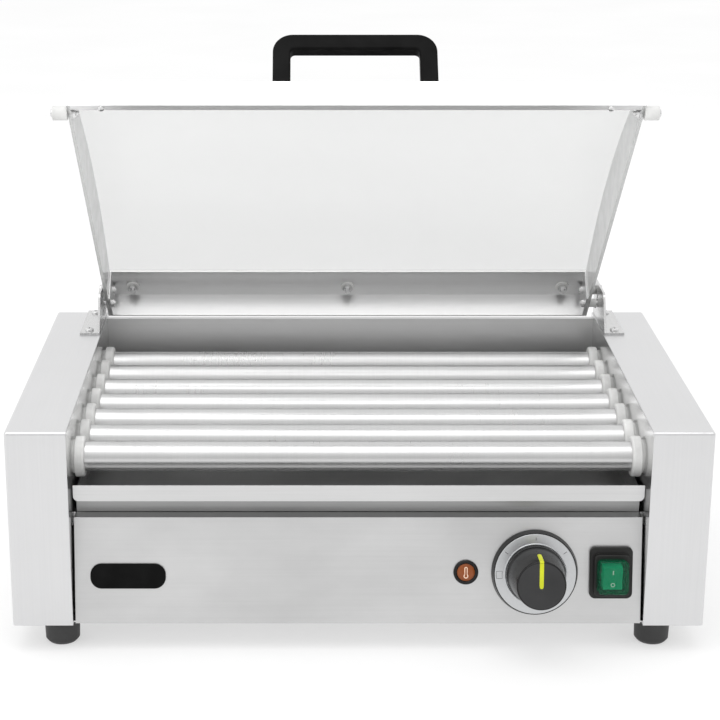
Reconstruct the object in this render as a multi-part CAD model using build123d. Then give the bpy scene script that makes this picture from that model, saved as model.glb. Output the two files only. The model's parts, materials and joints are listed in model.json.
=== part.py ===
from build123d import *
import math
import os

# ------------------------------------------------------------------ driving sizes, mm and degrees
# While it is modelled, the grill stands at X = 0 between its side housings, Y = 0 is the plane of
# their front faces with +Y towards the back, and Z = 0 is the bench.

# body
BODY_WIDTH = 590.0
BODY_DEPTH = 361.0
HOUSING_HEIGHT = 175.0
HOUSING_WIDTH = 51.5
FOOT_HEIGHT = 25.0
SHEET = 1.2
COVER_BEND = 2.6
BEARING_PLATE = 1.5
PRESS_GAP = 0.02
RUN_GAP = 0.08
HOLE_GAP = 0.2

# feet
FOOT_TOP_R = 15.5
FOOT_BOTTOM_R = 14.0
FOOT_INSET_X = 38.8
FOOT_INSET_Y = 27.0
FOOT_ROUND = 3.0
FOOT_SCREW_R = 2.5
FOOT_SCREW_HEAD_R = 5.0
FOOT_SCREW_HEAD = 3.0
FOOT_SCREW_PROUD = 2.0
FOOT_NUT_R = 4.6
FOOT_NUT = 4.0
FOOT_RECESS_R = 6.5
FOOT_RECESS_DEPTH = 15.0

# front panel
PANEL_GAP = 1.6
PANEL_TOP_Z = 116.0
PANEL_TOP_Y = 21.0
PANEL_BOTTOM_Y = 4.5
PANEL_TOP_FLANGE = 12.0
PANEL_BOTTOM_FLANGE = 14.0
CONTROL_UP = 44.9
BADGE_UP = 41.5
BADGE_X = -196.4
LAMP_X = 92.0
DIAL_X = 150.7
SWITCH_X = 215.6

# rollers and their drive
ROLLER_COUNT = 7
ROLLER_R = 12.7
ROLLER_WALL = 1.2
ROLLER_PITCH = 43.0
FIRST_ROLLER_Y = 48.0
ROLLER_Z = 161.5
BUSH_R = 17.5
BUSH_WIDTH = 8.2
BUSH_ROUND = 2.2
BUSH_STANDOFF = 2.0
BUSH_SPIGOT_R = 14.4
BUSH_SPIGOT_OUT = 3.0
CHAIN_PITCH = 6.35
CHAIN_ROLLER_R = 1.65
CHAIN_PLATE_HEIGHT = 5.8
CHAIN_PLATE = 0.8
CHAIN_SIDE_GAP = 0.3
SPROCKET_TEETH = 18
SPROCKET_WIDTH = 2.8
SPROCKET_TIP = 1.9
SPROCKET_HUB_R = 14.8
SPROCKET_HUB_WIDTH = 4.0
DRIVE_TEETH = 12
DRIVE_Z = 74.0
DRIVE_HUB_R = 8.0
CHAIN_PLANE = 13.0
TOOTH_GAP = 0.1
PIN_BITE = 0.1
SHAFT_IN = 20.0
SHAFT_END_GAP = 2.0
DRIVE_HUB_GAP = 2.0
ROLLER_END_FREE = 12.0
HEATER_R = 4.0
HEATER_BAR_X = 33.0
HEATER_BAR_HEIGHT = 16.0
HEATER_BAR_REACH = 33.0
HEATER_BAR_LEG = 8.0
HEATER_OVERHANG = 5.0
HEATER_LEG_BITE = 0.5
MOTOR_SHAFT_R = 4.0
GEARBOX_SIZE = (34.0, 76.0, 58.0)
MOTOR_CAN_R = 27.0
MOTOR_CAN_LENGTH = 48.0
GEARBOX_LOWERED = 4.0
MOTOR_CAN_OFFSET = (-6.0, -1.0)

# drip tray and its deck
TRAY_SHEET = 1.0
TRAY_SIDE_GAP = 2.6
TRAY_FRONT_Y = 33.5
TRAY_BACK_Y = 330.0
TRAY_WALL_TOP_Z = 137.0
TRAY_LIP_Y = 12.0
TRAY_LIP_BOTTOM_Z = 134.3
TRAY_LIP_TOP_Z = 148.4
TRAY_LIP_CORNER_R = 4.5
TRAY_RUN_GAP = 0.4
DECK_FLANGE = 12.0

# rear wall and power inlet
REAR_Y = 349.8
REAR_BELOW_TOP = 4.0
REAR_HEM = 7.0
VENT_COUNT = 9
VENT_PITCH = 12.0
VENT_LENGTH = 60.0
VENT_WIDTH = 4.0
VENT_LOWEST = 25.0
VENT_ROW_GAP = 10.0
GLAND_X = 150.0
GLAND_Z = 60.0
GLAND_BORE_R = 4.0
GLAND_THREAD_R = 8.0
GLAND_FLANGE_R = 12.0
GLAND_OUT = 9.0
GLAND_FLANGE = 3.0
GLAND_NUT = 4.0
GLAND_NUT_R = 11.0
GLAND_TAIL = 9.0
GLAND_TAIL_R = 7.5
GLAND_CHAMFER = (1.5, 2.0)
TERMINAL_SIZE = (36.0, 18.0, 20.0)
TERMINAL_OFF_REAR = 52.0
TERMINAL_POLES = 3
TERMINAL_HOLE_R = 3.0
TERMINAL_HOLE_DEPTH = 6.0

# controls
BEZEL_R = 37.0
BEZEL_TOP_R = 35.4
BEZEL_HEIGHT = 7.4
BEZEL_EDGE = 1.0
DIAL_R = 34.7
DIAL_SEAT = 6.6
DIAL_THICKNESS = 1.2
DIAL_RIM_R = 26.6
DIAL_RIM_RISE = 0.7
DIAL_CHAMFER = 0.3
DIAL_RIM_SLOPE = 0.4
DIAL_WELL_DEPTH = 0.2
KNOB_SKIRT_R = 25.0
KNOB_FACE_R = 20.2
KNOB_HEIGHT = 50.0
KNOB_FLOAT = 9.2
KNOB_BORE_DEPTH = 18.0
KNOB_SKIRT = 4.6
KNOB_SHOULDER = (1.0, 1.6)
KNOB_EDGE = 0.6
KNOB_CROWN = (3.0, 0.8)
SPINDLE_IN = 12.0
SPINDLE_END_GAP = 1.0
SPINDLE_R = 3.0
THERMOSTAT_SIZE = (44.0, 40.0, 26.0)
THERMOSTAT_NECK_R = 5.5
LAMP_RING_R = 10.6
LAMP_LENS_R = 7.6
LAMP_RING_HEIGHT = 2.2
LAMP_BODY_R = 6.2
LAMP_BODY_DEPTH = 24.0
LAMP_SEAT = 0.6
LAMP_RING_EDGE = 0.8
LENS_RIM_UP = 1.4
LENS_SHOULDER = (1.6, 2.2)
LENS_TOP = 2.6
SWITCH_FRAME = (36.6, 44.8)
SWITCH_STEP = (30.4, 36.0)
SWITCH_FRAME_HEIGHT = 4.0
SWITCH_STEP_HEIGHT = 9.4
SWITCH_DROP = 1.2
SWITCH_CORNER_R = 5.0
SWITCH_WINDOW = (21.0, 24.6)
SWITCH_BODY = (25.0, 28.6)
SWITCH_BODY_CORNER_R = 1.0
SWITCH_FLOOR = 3.0
SWITCH_EDGE_R = 1.0
SWITCH_STEP_EDGE_R = 0.8
SWITCH_LUG_HALF = 3.0
SWITCH_LUG_BELOW = 8.0
SWITCH_LUG_SIDE_GAP = 1.0
SWITCH_BODY_DEPTH = 26.0
BOOT_SIZE = (26.2, 29.0)
BOOT_WALL = 1.0
BOOT_HEIGHT = 18.6
BOOT_CORNER_R = 4.0
BOOT_EDGE_R = 1.8
ROCKER_SIZE = (16.2, 19.6)
ROCKER_RISE = 14.8
ROCKER_ANGLE = 7.0
ROCKER_PIVOT_UP = 5.0
ROCKER_PIN_R = 1.5
ROCKER_PIN_HALF = 10.2
ROCKER_PIN_END_GAP = 0.3
ROCKER_BELOW_PIN = 2.0
ROCKER_EDGE_R = 0.6
BADGE_SIZE = (64.3, 21.7)
BADGE_THICKNESS = 1.8
BADGE_CORNER_R = 9.6
BADGE_EDGE_R = 0.6

# lid, measured along its closed pose: "along" runs back from its front edge, "above" up from its
# lower edge
LID_OPEN_ANGLE = 43.8
LID_HALF_WIDTH = 239.5
LID_SHIFT_X = -3.0
LID_FRONT_Y = -8.0
LID_LENGTH = 375.0
LID_EDGE_ABOVE_HOUSING = 5.4
PIVOT_ALONG = 358.0
PIVOT_ABOVE = 20.6
PIVOT_R = 3.0
GUIDE_R = 15.5
GUIDE_REST_ANGLE = -137.8
GUIDE_PIN_R = 2.5
GUIDE_GAP = 0.4
GUIDE_OVERRUN = 1.5
HINGE_HEAD_GAP = 0.4
HINGE_HEAD = 4.0
HINGE_HEAD_OVER = 2.0
HINGE_HEAD_EDGE_R = 1.0
HINGE_NUT = 3.0
HINGE_NUT_OVER = 1.6
HINGE_BOLT_PROUD = 1.0
LID_OPENS_TO = 50.0
FRONT_RAIL_TOP = 28.0
FRONT_RAIL_RETURN = 7.0
PANE = 3.2
PANE_FRONT_ABOVE = 19.3
PANE_MIDDLE = (170.0, 43.6)
PANE_BACK_ABOVE = 25.0
LID_SIDE = 3.0
REAR_RAIL_START = 339.0
CLAMP_ALONG = 362.0
REAR_RAIL_SHEET = 1.5
PANE_BOLT_SPACING = 215.0
PANE_BOLT_R = 2.5
CLAMP_HEAD_R = 4.8
CLAMP_HEAD = 2.6
CLAMP_NUT_R = 4.6
CLAMP_NUT = 4.0
CLAMP_DOME_R = 1.8
CLAMP_BOLT_PROUD = 2.0
WASHER_R = 6.6
WASHER = 1.6
BUMPER_R = 6.0
BUMPER_OUT = 12.6
BUMPER_ALONG = 13.0
BUMPER_REST_GAP = 0.3
BUMPER_EDGE_R = 0.8
HANDLE_WIDTH = 139.0
HANDLE_HEIGHT = 54.0
HANDLE_BAR = 15.0
HANDLE_DEPTH = 12.0
HANDLE_OUTER_R = 17.0
HANDLE_INNER_R = 4.0
HANDLE_EDGE_R = 2.0
HANDLE_ALONG = 14.0

# hinge brackets
BRACKET_SHEET = 2.0
BRACKET_GAP = 1.0
BRACKET_FRONT_Y = 280.0
BRACKET_LEAN = 20.0
BRACKET_HEIGHT = 36.0
BRACKET_FOOT = 19.0
BRACKET_CORNER_R = 7.0
BRACKET_SCREW_OUT = 10.6
BRACKET_SCREW_INSET = 9.0
BRACKET_SCREW_R = 4.2
BRACKET_SCREW_HEAD = 2.4
BRACKET_SCREW_DOME_R = 1.6

# ------------------------------------------------------------------ values worked out from them
BASE_Z = FOOT_HEIGHT
TOP_Z = FOOT_HEIGHT + HOUSING_HEIGHT
INNER_X = BODY_WIDTH / 2 - HOUSING_WIDTH
PAN_TOP_Z = BASE_Z + SHEET
PLATE_BACK_X = INNER_X + BEARING_PLATE
ROLLER_YS = [FIRST_ROLLER_Y + i * ROLLER_PITCH for i in range(ROLLER_COUNT)]
DRIVE_Y = ROLLER_YS[ROLLER_COUNT // 2]
CHAIN_X = PLATE_BACK_X + CHAIN_PLANE
ROLLER_END_X = CHAIN_X + SPROCKET_WIDTH / 2 + SPROCKET_HUB_WIDTH
SPROCKET_PITCH_R = CHAIN_PITCH / 2 / math.sin(math.pi / SPROCKET_TEETH)
DRIVE_PITCH_R = CHAIN_PITCH / 2 / math.sin(math.pi / DRIVE_TEETH)
PANEL_LEAN = math.degrees(math.atan((PANEL_TOP_Y - PANEL_BOTTOM_Y) / (PANEL_TOP_Z - BASE_Z)))
PANEL_FACE = math.hypot(PANEL_TOP_Y - PANEL_BOTTOM_Y, PANEL_TOP_Z - BASE_Z)
PANEL_HALF = INNER_X - PANEL_GAP
LID_EDGE_Z = TOP_Z + LID_EDGE_ABOVE_HOUSING
PIVOT_Y = LID_FRONT_Y + PIVOT_ALONG
PIVOT_Z = LID_EDGE_Z + PIVOT_ABOVE
BRACKET_X = INNER_X + BRACKET_GAP
LID_RIGHT_X = LID_SHIFT_X + LID_HALF_WIDTH
LID_LEFT_X = LID_SHIFT_X - LID_HALF_WIDTH
PANE_ENDS = [(SHEET, PANE_FRONT_ABOVE), (LID_LENGTH - REAR_RAIL_SHEET, PANE_BACK_ABOVE)]
RAIL_FACE_HEIGHT = PANE_FRONT_ABOVE + PANE + SHEET


# ------------------------------------------------------------------ helpers
def block(x_span, y_span, z_span):
    """Box between a lower and an upper limit on each axis."""
    spans = (x_span, y_span, z_span)
    size = [high - low for low, high in spans]
    centre = [(high + low) / 2 for low, high in spans]
    return Pos(*centre) * Box(*size)


def rod_x(x_span, y, z, radius):
    """Cylinder along X between two limits."""
    low, high = x_span
    return Pos((low + high) / 2, y, z) * Rot(0, 90, 0) * Cylinder(radius, high - low)


def tube_x(x_span, y, z, outer, inner):
    """Hollow cylinder along X."""
    low, high = x_span
    return rod_x(x_span, y, z, outer) - rod_x((low - 1, high + 1), y, z, inner)


def disc(radius, z_span, x=0.0, y=0.0):
    """Cylinder along the local Z between two limits."""
    low, high = z_span
    return Pos(x, y, (low + high) / 2) * Cylinder(radius, high - low)


def rounded_block(size, corner, z_span):
    """Block with rounded upright corners, on the local Z."""
    low, high = z_span
    return Pos(0, 0, low) * extrude(RectangleRounded(size[0], size[1], corner), high - low)


def revolved(points):
    """Solid of revolution about the local Z from (radius, height) corners."""
    face = make_face(Polyline(*[(r, 0, z) for r, z in points], close=True))
    return revolve(face, Axis.Z)


def mirrored(solid):
    """The same piece for the other side of the grill."""
    return mirror(solid, about=Plane.YZ)


def on_panel(x, up, solid):
    """Place a piece made on the local Z so that Z = 0 is the panel's outer face."""
    lean = math.radians(PANEL_LEAN)
    y = PANEL_BOTTOM_Y + up * math.sin(lean)
    z = BASE_Z + up * math.cos(lean)
    plane = Plane(origin=(x, y, z), x_dir=(1, 0, 0), z_dir=(0, -math.cos(lean), math.sin(lean)))
    return plane.location * solid


def lid_block(x_span, along_span, above_span):
    """Box in the closed lid's own measures."""
    y_span = [LID_FRONT_Y + value for value in along_span]
    z_span = [LID_EDGE_Z + value for value in above_span]
    return block(x_span, y_span, z_span)


def lid_rod(x_span, along, above, radius):
    return rod_x(x_span, LID_FRONT_Y + along, LID_EDGE_Z + above, radius)


def opened(solid):
    """Swing a piece of the closed lid about the pivot to the angle it rests at."""
    to_pivot = Pos(0, PIVOT_Y, PIVOT_Z)
    from_pivot = Pos(0, -PIVOT_Y, -PIVOT_Z)
    return to_pivot * Rot(-LID_OPEN_ANGLE, 0, 0) * from_pivot * solid


# ------------------------------------------------------------------ body shell
def housing_cover():
    """Right housing's folded cover: front, outer side, back and top, open inwards and below."""
    half = BODY_WIDTH / 2
    outer = block((INNER_X, half), (0, BODY_DEPTH), (BASE_Z, TOP_Z))
    outer = fillet(folded_edges(outer), COVER_BEND)
    inner = block((INNER_X - SHEET, half - SHEET), (SHEET, BODY_DEPTH - SHEET),
                  (BASE_Z - SHEET, TOP_Z - SHEET))
    inner = fillet(folded_edges(inner), COVER_BEND - SHEET)
    return outer - inner


def folded_edges(solid):
    """The upright edges of the outer side and the top edges that aren't on the inner side."""
    upright = solid.edges().filter_by(Axis.Z).group_by(Axis.X)[-1]
    top = solid.edges().group_by(Axis.Z)[-1]
    return upright + top.filter_by(lambda e: e.center().X > top.sort_by(Axis.X)[0].center().X + 1)


def bearing_plate():
    """Right inner wall, which holds the rollers' bushes."""
    z_span = (PAN_TOP_Z, TOP_Z - SHEET)
    plate = block((INNER_X, PLATE_BACK_X), (SHEET, BODY_DEPTH - SHEET), z_span)
    plate = fillet(plate.edges().filter_by(Axis.X).group_by(Axis.Z)[-1], COVER_BEND - SHEET)
    through = (INNER_X - 1, PLATE_BACK_X + 1)
    for y in ROLLER_YS:
        plate -= rod_x(through, y, ROLLER_Z, BUSH_SPIGOT_R)
    return plate - rod_x(through, DRIVE_Y, DRIVE_Z, DRIVE_HUB_R + DRIVE_HUB_GAP)


def base_pan():
    """Floor of the body, cut back between the housings to just behind the front panel."""
    half = BODY_WIDTH / 2 - SHEET
    pan = block((-half, half), (SHEET, BODY_DEPTH - SHEET), (BASE_Z, PAN_TOP_Z))
    pan = fillet(pan.edges().filter_by(Axis.Z), COVER_BEND - SHEET)
    pan -= block((-INNER_X, INNER_X), (0, PANEL_BOTTOM_Y + 2 * SHEET), (BASE_Z - 1, PAN_TOP_Z + 1))
    for x, y in foot_places():
        pan -= Pos(x, y, BASE_Z) * Cylinder(FOOT_SCREW_R + HOLE_GAP, 4 * SHEET)
    for i in range(VENT_COUNT):
        x = (i - (VENT_COUNT - 1) / 2) * VENT_PITCH * 2
        slot = extrude(SlotOverall(VENT_LENGTH, VENT_WIDTH, rotation=90), 4 * SHEET)
        pan -= Pos(x, BODY_DEPTH / 2, BASE_Z - 2 * SHEET) * slot
    return pan


def foot_places():
    x = BODY_WIDTH / 2 - FOOT_INSET_X
    ys = (FOOT_INSET_Y, BODY_DEPTH - FOOT_INSET_Y)
    return [(side * x, y) for y in ys for side in (-1, 1)]


def foot(x, y):
    """Tapered rubber foot with a recess for its screw."""
    profile = [
        (FOOT_SCREW_R + HOLE_GAP, BASE_Z),
        (FOOT_TOP_R, BASE_Z),
        (FOOT_BOTTOM_R + FOOT_ROUND / 4, FOOT_ROUND),
        (FOOT_BOTTOM_R - FOOT_ROUND / 4, FOOT_ROUND / 3),
        (FOOT_BOTTOM_R - FOOT_ROUND * 0.6, 0),
        (FOOT_RECESS_R, 0),
        (FOOT_RECESS_R, FOOT_RECESS_DEPTH),
        (FOOT_SCREW_R + HOLE_GAP, FOOT_RECESS_DEPTH),
    ]
    return Pos(x, y, 0) * revolved(profile)


def foot_screws():
    """One screw and nut for each foot, up through the base pan."""
    nut_top = PAN_TOP_Z + FOOT_NUT
    screws = []
    for x, y in foot_places():
        head = disc(FOOT_SCREW_HEAD_R, (FOOT_RECESS_DEPTH - FOOT_SCREW_HEAD, FOOT_RECESS_DEPTH), x, y)
        shank = disc(FOOT_SCREW_R, (FOOT_RECESS_DEPTH, nut_top + FOOT_SCREW_PROUD), x, y)
        nut = Pos(x, y, PAN_TOP_Z) * extrude(RegularPolygon(FOOT_NUT_R, 6), FOOT_NUT)
        screws.append(head + shank + nut)
    return Compound(screws)


def front_panel():
    """Leaning control panel with its top and bottom flanges and the control holes."""
    face = block((-PANEL_HALF, PANEL_HALF), (0, PANEL_FACE), (-SHEET, 0))
    panel = on_panel(0, 0, face)
    x_span = (-PANEL_HALF, PANEL_HALF)
    panel += block(x_span, (PANEL_TOP_Y, PANEL_TOP_Y + PANEL_TOP_FLANGE), (PANEL_TOP_Z - SHEET, PANEL_TOP_Z))
    foot_span = (PANEL_BOTTOM_Y + SHEET / 2, PANEL_BOTTOM_Y + PANEL_BOTTOM_FLANGE)
    panel += block(x_span, foot_span, (PAN_TOP_Z, PAN_TOP_Z + SHEET))
    panel -= block(x_span, (0, BODY_DEPTH), (BASE_Z - 2 * SHEET, BASE_Z))
    cut = (-4 * SHEET, 2 * SHEET)
    panel -= on_panel(DIAL_X, CONTROL_UP, disc(THERMOSTAT_NECK_R + HOLE_GAP, cut))
    panel -= on_panel(LAMP_X, CONTROL_UP, disc(LAMP_BODY_R + HOLE_GAP, cut))
    window = [size + 2 * HOLE_GAP for size in SWITCH_BODY]
    opening = rounded_block(window, SWITCH_BODY_CORNER_R, cut)
    return panel - on_panel(SWITCH_X, CONTROL_UP - SWITCH_DROP, opening)


def tray_deck():
    """Sheet that carries the drip tray, with turned-down flanges against the inner walls."""
    z_span = (PANEL_TOP_Z - SHEET, PANEL_TOP_Z)
    front = PANEL_TOP_Y + PANEL_TOP_FLANGE
    deck = block((-INNER_X, INNER_X), (front, REAR_Y), z_span)
    low = (PANEL_TOP_Z - DECK_FLANGE, PANEL_TOP_Z)
    for side in (-1, 1):
        edge = sorted((side * INNER_X, side * (INNER_X - SHEET)))
        deck += block(edge, (front, REAR_Y), low)
    return deck + block((-INNER_X, INNER_X), (front, front + SHEET), low)


def rear_panel():
    """Back wall between the housings, with cooling louvres and the cable entry."""
    top = TOP_Z - REAR_BELOW_TOP
    panel = block((-INNER_X, INNER_X), (REAR_Y, REAR_Y + SHEET), (PAN_TOP_Z, top))
    panel += block((-INNER_X, INNER_X), (REAR_Y, REAR_Y + REAR_HEM), (top - SHEET, top))
    for row in range(2):
        for i in range(VENT_COUNT):
            x = (i - (VENT_COUNT - 1) / 2) * VENT_PITCH - GLAND_X / 2 + row * GLAND_X / 4
            slot = extrude(SlotOverall(VENT_LENGTH / 2, VENT_WIDTH, rotation=90), 6 * SHEET)
            up = VENT_LOWEST + row * (VENT_LENGTH / 2 + VENT_ROW_GAP)
            centre = Pos(x, REAR_Y + 3 * SHEET, PAN_TOP_Z + up)
            panel -= centre * Rot(90, 0, 0) * slot
    hole = Pos(GLAND_X, REAR_Y, GLAND_Z) * Rot(90, 0, 0) * Cylinder(GLAND_THREAD_R + PRESS_GAP, 8 * SHEET)
    return panel - hole


def cable_gland():
    """Screwed gland for the mains lead, through the rear wall."""
    profile = [
        (GLAND_BORE_R, -GLAND_OUT),
        (GLAND_THREAD_R - GLAND_CHAMFER[0], -GLAND_OUT),
        (GLAND_THREAD_R, -GLAND_OUT + GLAND_CHAMFER[1]),
        (GLAND_THREAD_R, -GLAND_FLANGE),
        (GLAND_FLANGE_R, -GLAND_FLANGE),
        (GLAND_FLANGE_R, 0),
        (GLAND_THREAD_R, 0),
        (GLAND_THREAD_R, SHEET),
        (GLAND_NUT_R, SHEET),
        (GLAND_NUT_R, SHEET + GLAND_NUT),
        (GLAND_TAIL_R, SHEET + GLAND_NUT),
        (GLAND_TAIL_R, SHEET + GLAND_TAIL),
        (GLAND_BORE_R, SHEET + GLAND_TAIL),
    ]
    return Pos(GLAND_X, REAR_Y + SHEET, GLAND_Z) * Rot(90, 0, 0) * revolved(profile)


def terminal_block():
    """Block behind the gland where the mains lead is wired up, on the base pan."""
    wide, deep, high = TERMINAL_SIZE
    back = REAR_Y - TERMINAL_OFF_REAR
    top = PAN_TOP_Z + high
    body = block((GLAND_X - wide / 2, GLAND_X + wide / 2), (back - deep, back), (PAN_TOP_Z, top))
    for i in range(TERMINAL_POLES):
        x = GLAND_X + (i - (TERMINAL_POLES - 1) / 2) * wide / TERMINAL_POLES
        body -= disc(TERMINAL_HOLE_R, (top - TERMINAL_HOLE_DEPTH, top + 1), x, back - deep / 2)
    return body


# ------------------------------------------------------------------ rollers and drive
def roller_bushes():
    """A white flanged bush for each end of each roller."""
    inner_face = INNER_X - BUSH_STANDOFF - BUSH_WIDTH
    outer_face = INNER_X - BUSH_STANDOFF
    end = PLATE_BACK_X + BUSH_SPIGOT_OUT
    bushes = []
    for y in ROLLER_YS:
        bush = rod_x((inner_face, outer_face), y, ROLLER_Z, BUSH_R)
        rims = bush.edges().filter_by(GeomType.CIRCLE).sort_by(Axis.X)
        bush = fillet(rims[0], BUSH_ROUND)
        bush = fillet(bush.edges().filter_by(GeomType.CIRCLE).sort_by(Axis.X)[-1], BUSH_ROUND / 3)
        bush += rod_x((outer_face - 1, end), y, ROLLER_Z, BUSH_SPIGOT_R - PRESS_GAP)
        bush -= rod_x((inner_face - 1, end + 1), y, ROLLER_Z, ROLLER_R + RUN_GAP)
        bushes += [bush, mirrored(bush)]
    return Compound(bushes)


def roller(y):
    """Heated tube, longer at the chain end."""
    left = -(PLATE_BACK_X + ROLLER_END_FREE)
    return tube_x((left, ROLLER_END_X), y, ROLLER_Z, ROLLER_R, ROLLER_R - ROLLER_WALL)


def toothed(pitch_r, teeth, width):
    """Chain sprocket disc on the local Z."""
    profile = Circle(pitch_r + SPROCKET_TIP)
    profile -= PolarLocations(pitch_r, teeth) * Circle(CHAIN_ROLLER_R + TOOTH_GAP)
    return Pos(0, 0, -width / 2) * extrude(profile, width)


def sprocket(y):
    """Sprocket and hub pressed onto a roller's end."""
    wheel = toothed(SPROCKET_PITCH_R, SPROCKET_TEETH, SPROCKET_WIDTH)
    wheel += disc(SPROCKET_HUB_R, (0, SPROCKET_WIDTH / 2 + SPROCKET_HUB_WIDTH))
    wheel -= disc(ROLLER_R + PRESS_GAP, (-SPROCKET_WIDTH, SPROCKET_WIDTH + SPROCKET_HUB_WIDTH))
    return Pos(CHAIN_X, y, ROLLER_Z) * Rot(0, 90, 0) * wheel


def drive_sprocket():
    """Gearmotor's output shaft with its sprocket."""
    wheel = toothed(DRIVE_PITCH_R, DRIVE_TEETH, SPROCKET_WIDTH)
    wheel += disc(DRIVE_HUB_R, (-SPROCKET_WIDTH / 2 - SPROCKET_HUB_WIDTH, 0))
    placed = Pos(CHAIN_X, DRIVE_Y, DRIVE_Z) * Rot(0, 90, 0) * wheel
    return placed + rod_x((INNER_X - SHAFT_IN, CHAIN_X), DRIVE_Y, DRIVE_Z, MOTOR_SHAFT_R)


def gearmotor():
    """Motor and gearbox, bolted to the right inner wall below the deck."""
    thick, deep, high = GEARBOX_SIZE
    box = block((INNER_X - thick, INNER_X), (DRIVE_Y - deep / 2, DRIVE_Y + deep / 2),
                (DRIVE_Z - high / 2, DRIVE_Z + high / 2 - GEARBOX_LOWERED))
    can_end = INNER_X - thick - MOTOR_CAN_LENGTH
    can_y = DRIVE_Y + MOTOR_CAN_OFFSET[0]
    can_z = DRIVE_Z + MOTOR_CAN_OFFSET[1]
    box += rod_x((can_end, INNER_X - thick + 1), can_y, can_z, MOTOR_CAN_R)
    shaft_hole = (INNER_X - SHAFT_IN - SHAFT_END_GAP, INNER_X + 1)
    return box - rod_x(shaft_hole, DRIVE_Y, DRIVE_Z, MOTOR_SHAFT_R + RUN_GAP)


def chain_loop(offset):
    """Filled outline of the chain's path, moved outwards by an offset, in the YZ plane."""
    small = (DRIVE_Y, DRIVE_Z, DRIVE_PITCH_R + offset)
    first = (ROLLER_YS[0], ROLLER_Z, SPROCKET_PITCH_R + offset)
    last = (ROLLER_YS[-1], ROLLER_Z, SPROCKET_PITCH_R + offset)
    circles = [Pos(y, z) * CenterArc((0, 0), r, 0, 360) for y, z, r in (small, first, last)]
    return make_face(make_hull([edge for circle in circles for edge in circle.edges()]))


def chain_pin_places():
    """Pins of the straight runs that clear every sprocket's teeth at any angle."""
    places = []
    top = ROLLER_Z + SPROCKET_PITCH_R
    for y in ROLLER_YS[:-1]:
        places += [(y + ROLLER_PITCH / 2 + step * CHAIN_PITCH, top) for step in (-1, 0, 1)]
    for end_y, side in ((ROLLER_YS[0], -1), (ROLLER_YS[-1], 1)):
        run_y = end_y - DRIVE_Y
        run_z = ROLLER_Z - DRIVE_Z
        length = math.hypot(run_y, run_z)
        tilt = math.asin((SPROCKET_PITCH_R - DRIVE_PITCH_R) / length)
        angle = math.atan2(run_z, run_y) - side * (math.pi / 2 + tilt)
        start = (DRIVE_Y + DRIVE_PITCH_R * math.cos(angle), DRIVE_Z + DRIVE_PITCH_R * math.sin(angle))
        end = (end_y + SPROCKET_PITCH_R * math.cos(angle), ROLLER_Z + SPROCKET_PITCH_R * math.sin(angle))
        span = math.hypot(end[0] - start[0], end[1] - start[1])
        count = int((span - 40) / CHAIN_PITCH)
        for i in range(count):
            share = (span / 2 + (i - (count - 1) / 2) * CHAIN_PITCH) / span
            places.append((start[0] + share * (end[0] - start[0]), start[1] + share * (end[1] - start[1])))
    return places


def drive_chain():
    """Side plates of the whole loop with the pins of its straight runs."""
    ring = chain_loop(CHAIN_PLATE_HEIGHT / 2) - chain_loop(-CHAIN_PLATE_HEIGHT / 2)
    half = SPROCKET_WIDTH / 2 + CHAIN_SIDE_GAP
    plate = extrude(ring, CHAIN_PLATE)
    chain = Pos(0, 0, half) * plate + Pos(0, 0, -half - CHAIN_PLATE) * plate
    for y, z in chain_pin_places():
        chain += disc(CHAIN_ROLLER_R, (-half - PIN_BITE, half + PIN_BITE), y, z)
    frame = Plane(origin=(CHAIN_X, 0, 0), x_dir=(0, 1, 0), z_dir=(1, 0, 0))
    return frame.location * chain


def heater_rods():
    """Fixed sheathed heating rod down the middle of each roller."""
    half = PLATE_BACK_X + HEATER_BAR_X + HEATER_OVERHANG
    return Compound([rod_x((-half, half), y, ROLLER_Z, HEATER_R) for y in ROLLER_YS])


def heater_bars():
    """A bar in each housing that holds the heating rods' ends, on legs off the inner wall."""
    near = ROLLER_YS[0] - HEATER_BAR_REACH
    far = ROLLER_YS[-1] + HEATER_BAR_REACH
    z_span = (ROLLER_Z - HEATER_BAR_HEIGHT / 2, ROLLER_Z + HEATER_BAR_HEIGHT / 2)
    bar_x = PLATE_BACK_X + HEATER_BAR_X
    bar = block((bar_x, bar_x + BEARING_PLATE), (near, far), z_span)
    for y in (near, far - HEATER_BAR_LEG):
        bar += block((PLATE_BACK_X, bar_x + HEATER_LEG_BITE), (y, y + HEATER_BAR_LEG), z_span)
    for y in ROLLER_YS:
        bar -= rod_x((bar_x - 1, bar_x + BEARING_PLATE + 1), y, ROLLER_Z, HEATER_R + PRESS_GAP)
    return Compound([bar, mirrored(bar)])


# ------------------------------------------------------------------ drip tray
def drip_tray():
    """Open sheet tray with a raised lip in front to pull it by."""
    half = INNER_X - TRAY_SIDE_GAP
    floor_z = PANEL_TOP_Z + TRAY_RUN_GAP
    tray = block((-half, half), (TRAY_FRONT_Y, TRAY_BACK_Y), (floor_z, TRAY_WALL_TOP_Z))
    hollow_x = half - TRAY_SHEET
    tray -= block((-hollow_x, hollow_x), (TRAY_FRONT_Y + TRAY_SHEET, TRAY_BACK_Y - TRAY_SHEET),
                  (floor_z + TRAY_SHEET, TRAY_WALL_TOP_Z + 1))
    shelf = (TRAY_WALL_TOP_Z - TRAY_SHEET, TRAY_WALL_TOP_Z)
    shelf_x = half - TRAY_LIP_CORNER_R
    tray += block((-shelf_x, shelf_x), (TRAY_LIP_Y + TRAY_SHEET / 2, TRAY_FRONT_Y + TRAY_SHEET), shelf)
    lip = block((-half, half), (TRAY_LIP_Y, TRAY_LIP_Y + TRAY_SHEET), (TRAY_LIP_BOTTOM_Z, TRAY_LIP_TOP_Z))
    low_corners = lip.edges().filter_by(Axis.Y).group_by(Axis.Z)[0]
    return tray + fillet(low_corners, TRAY_LIP_CORNER_R)


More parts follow.
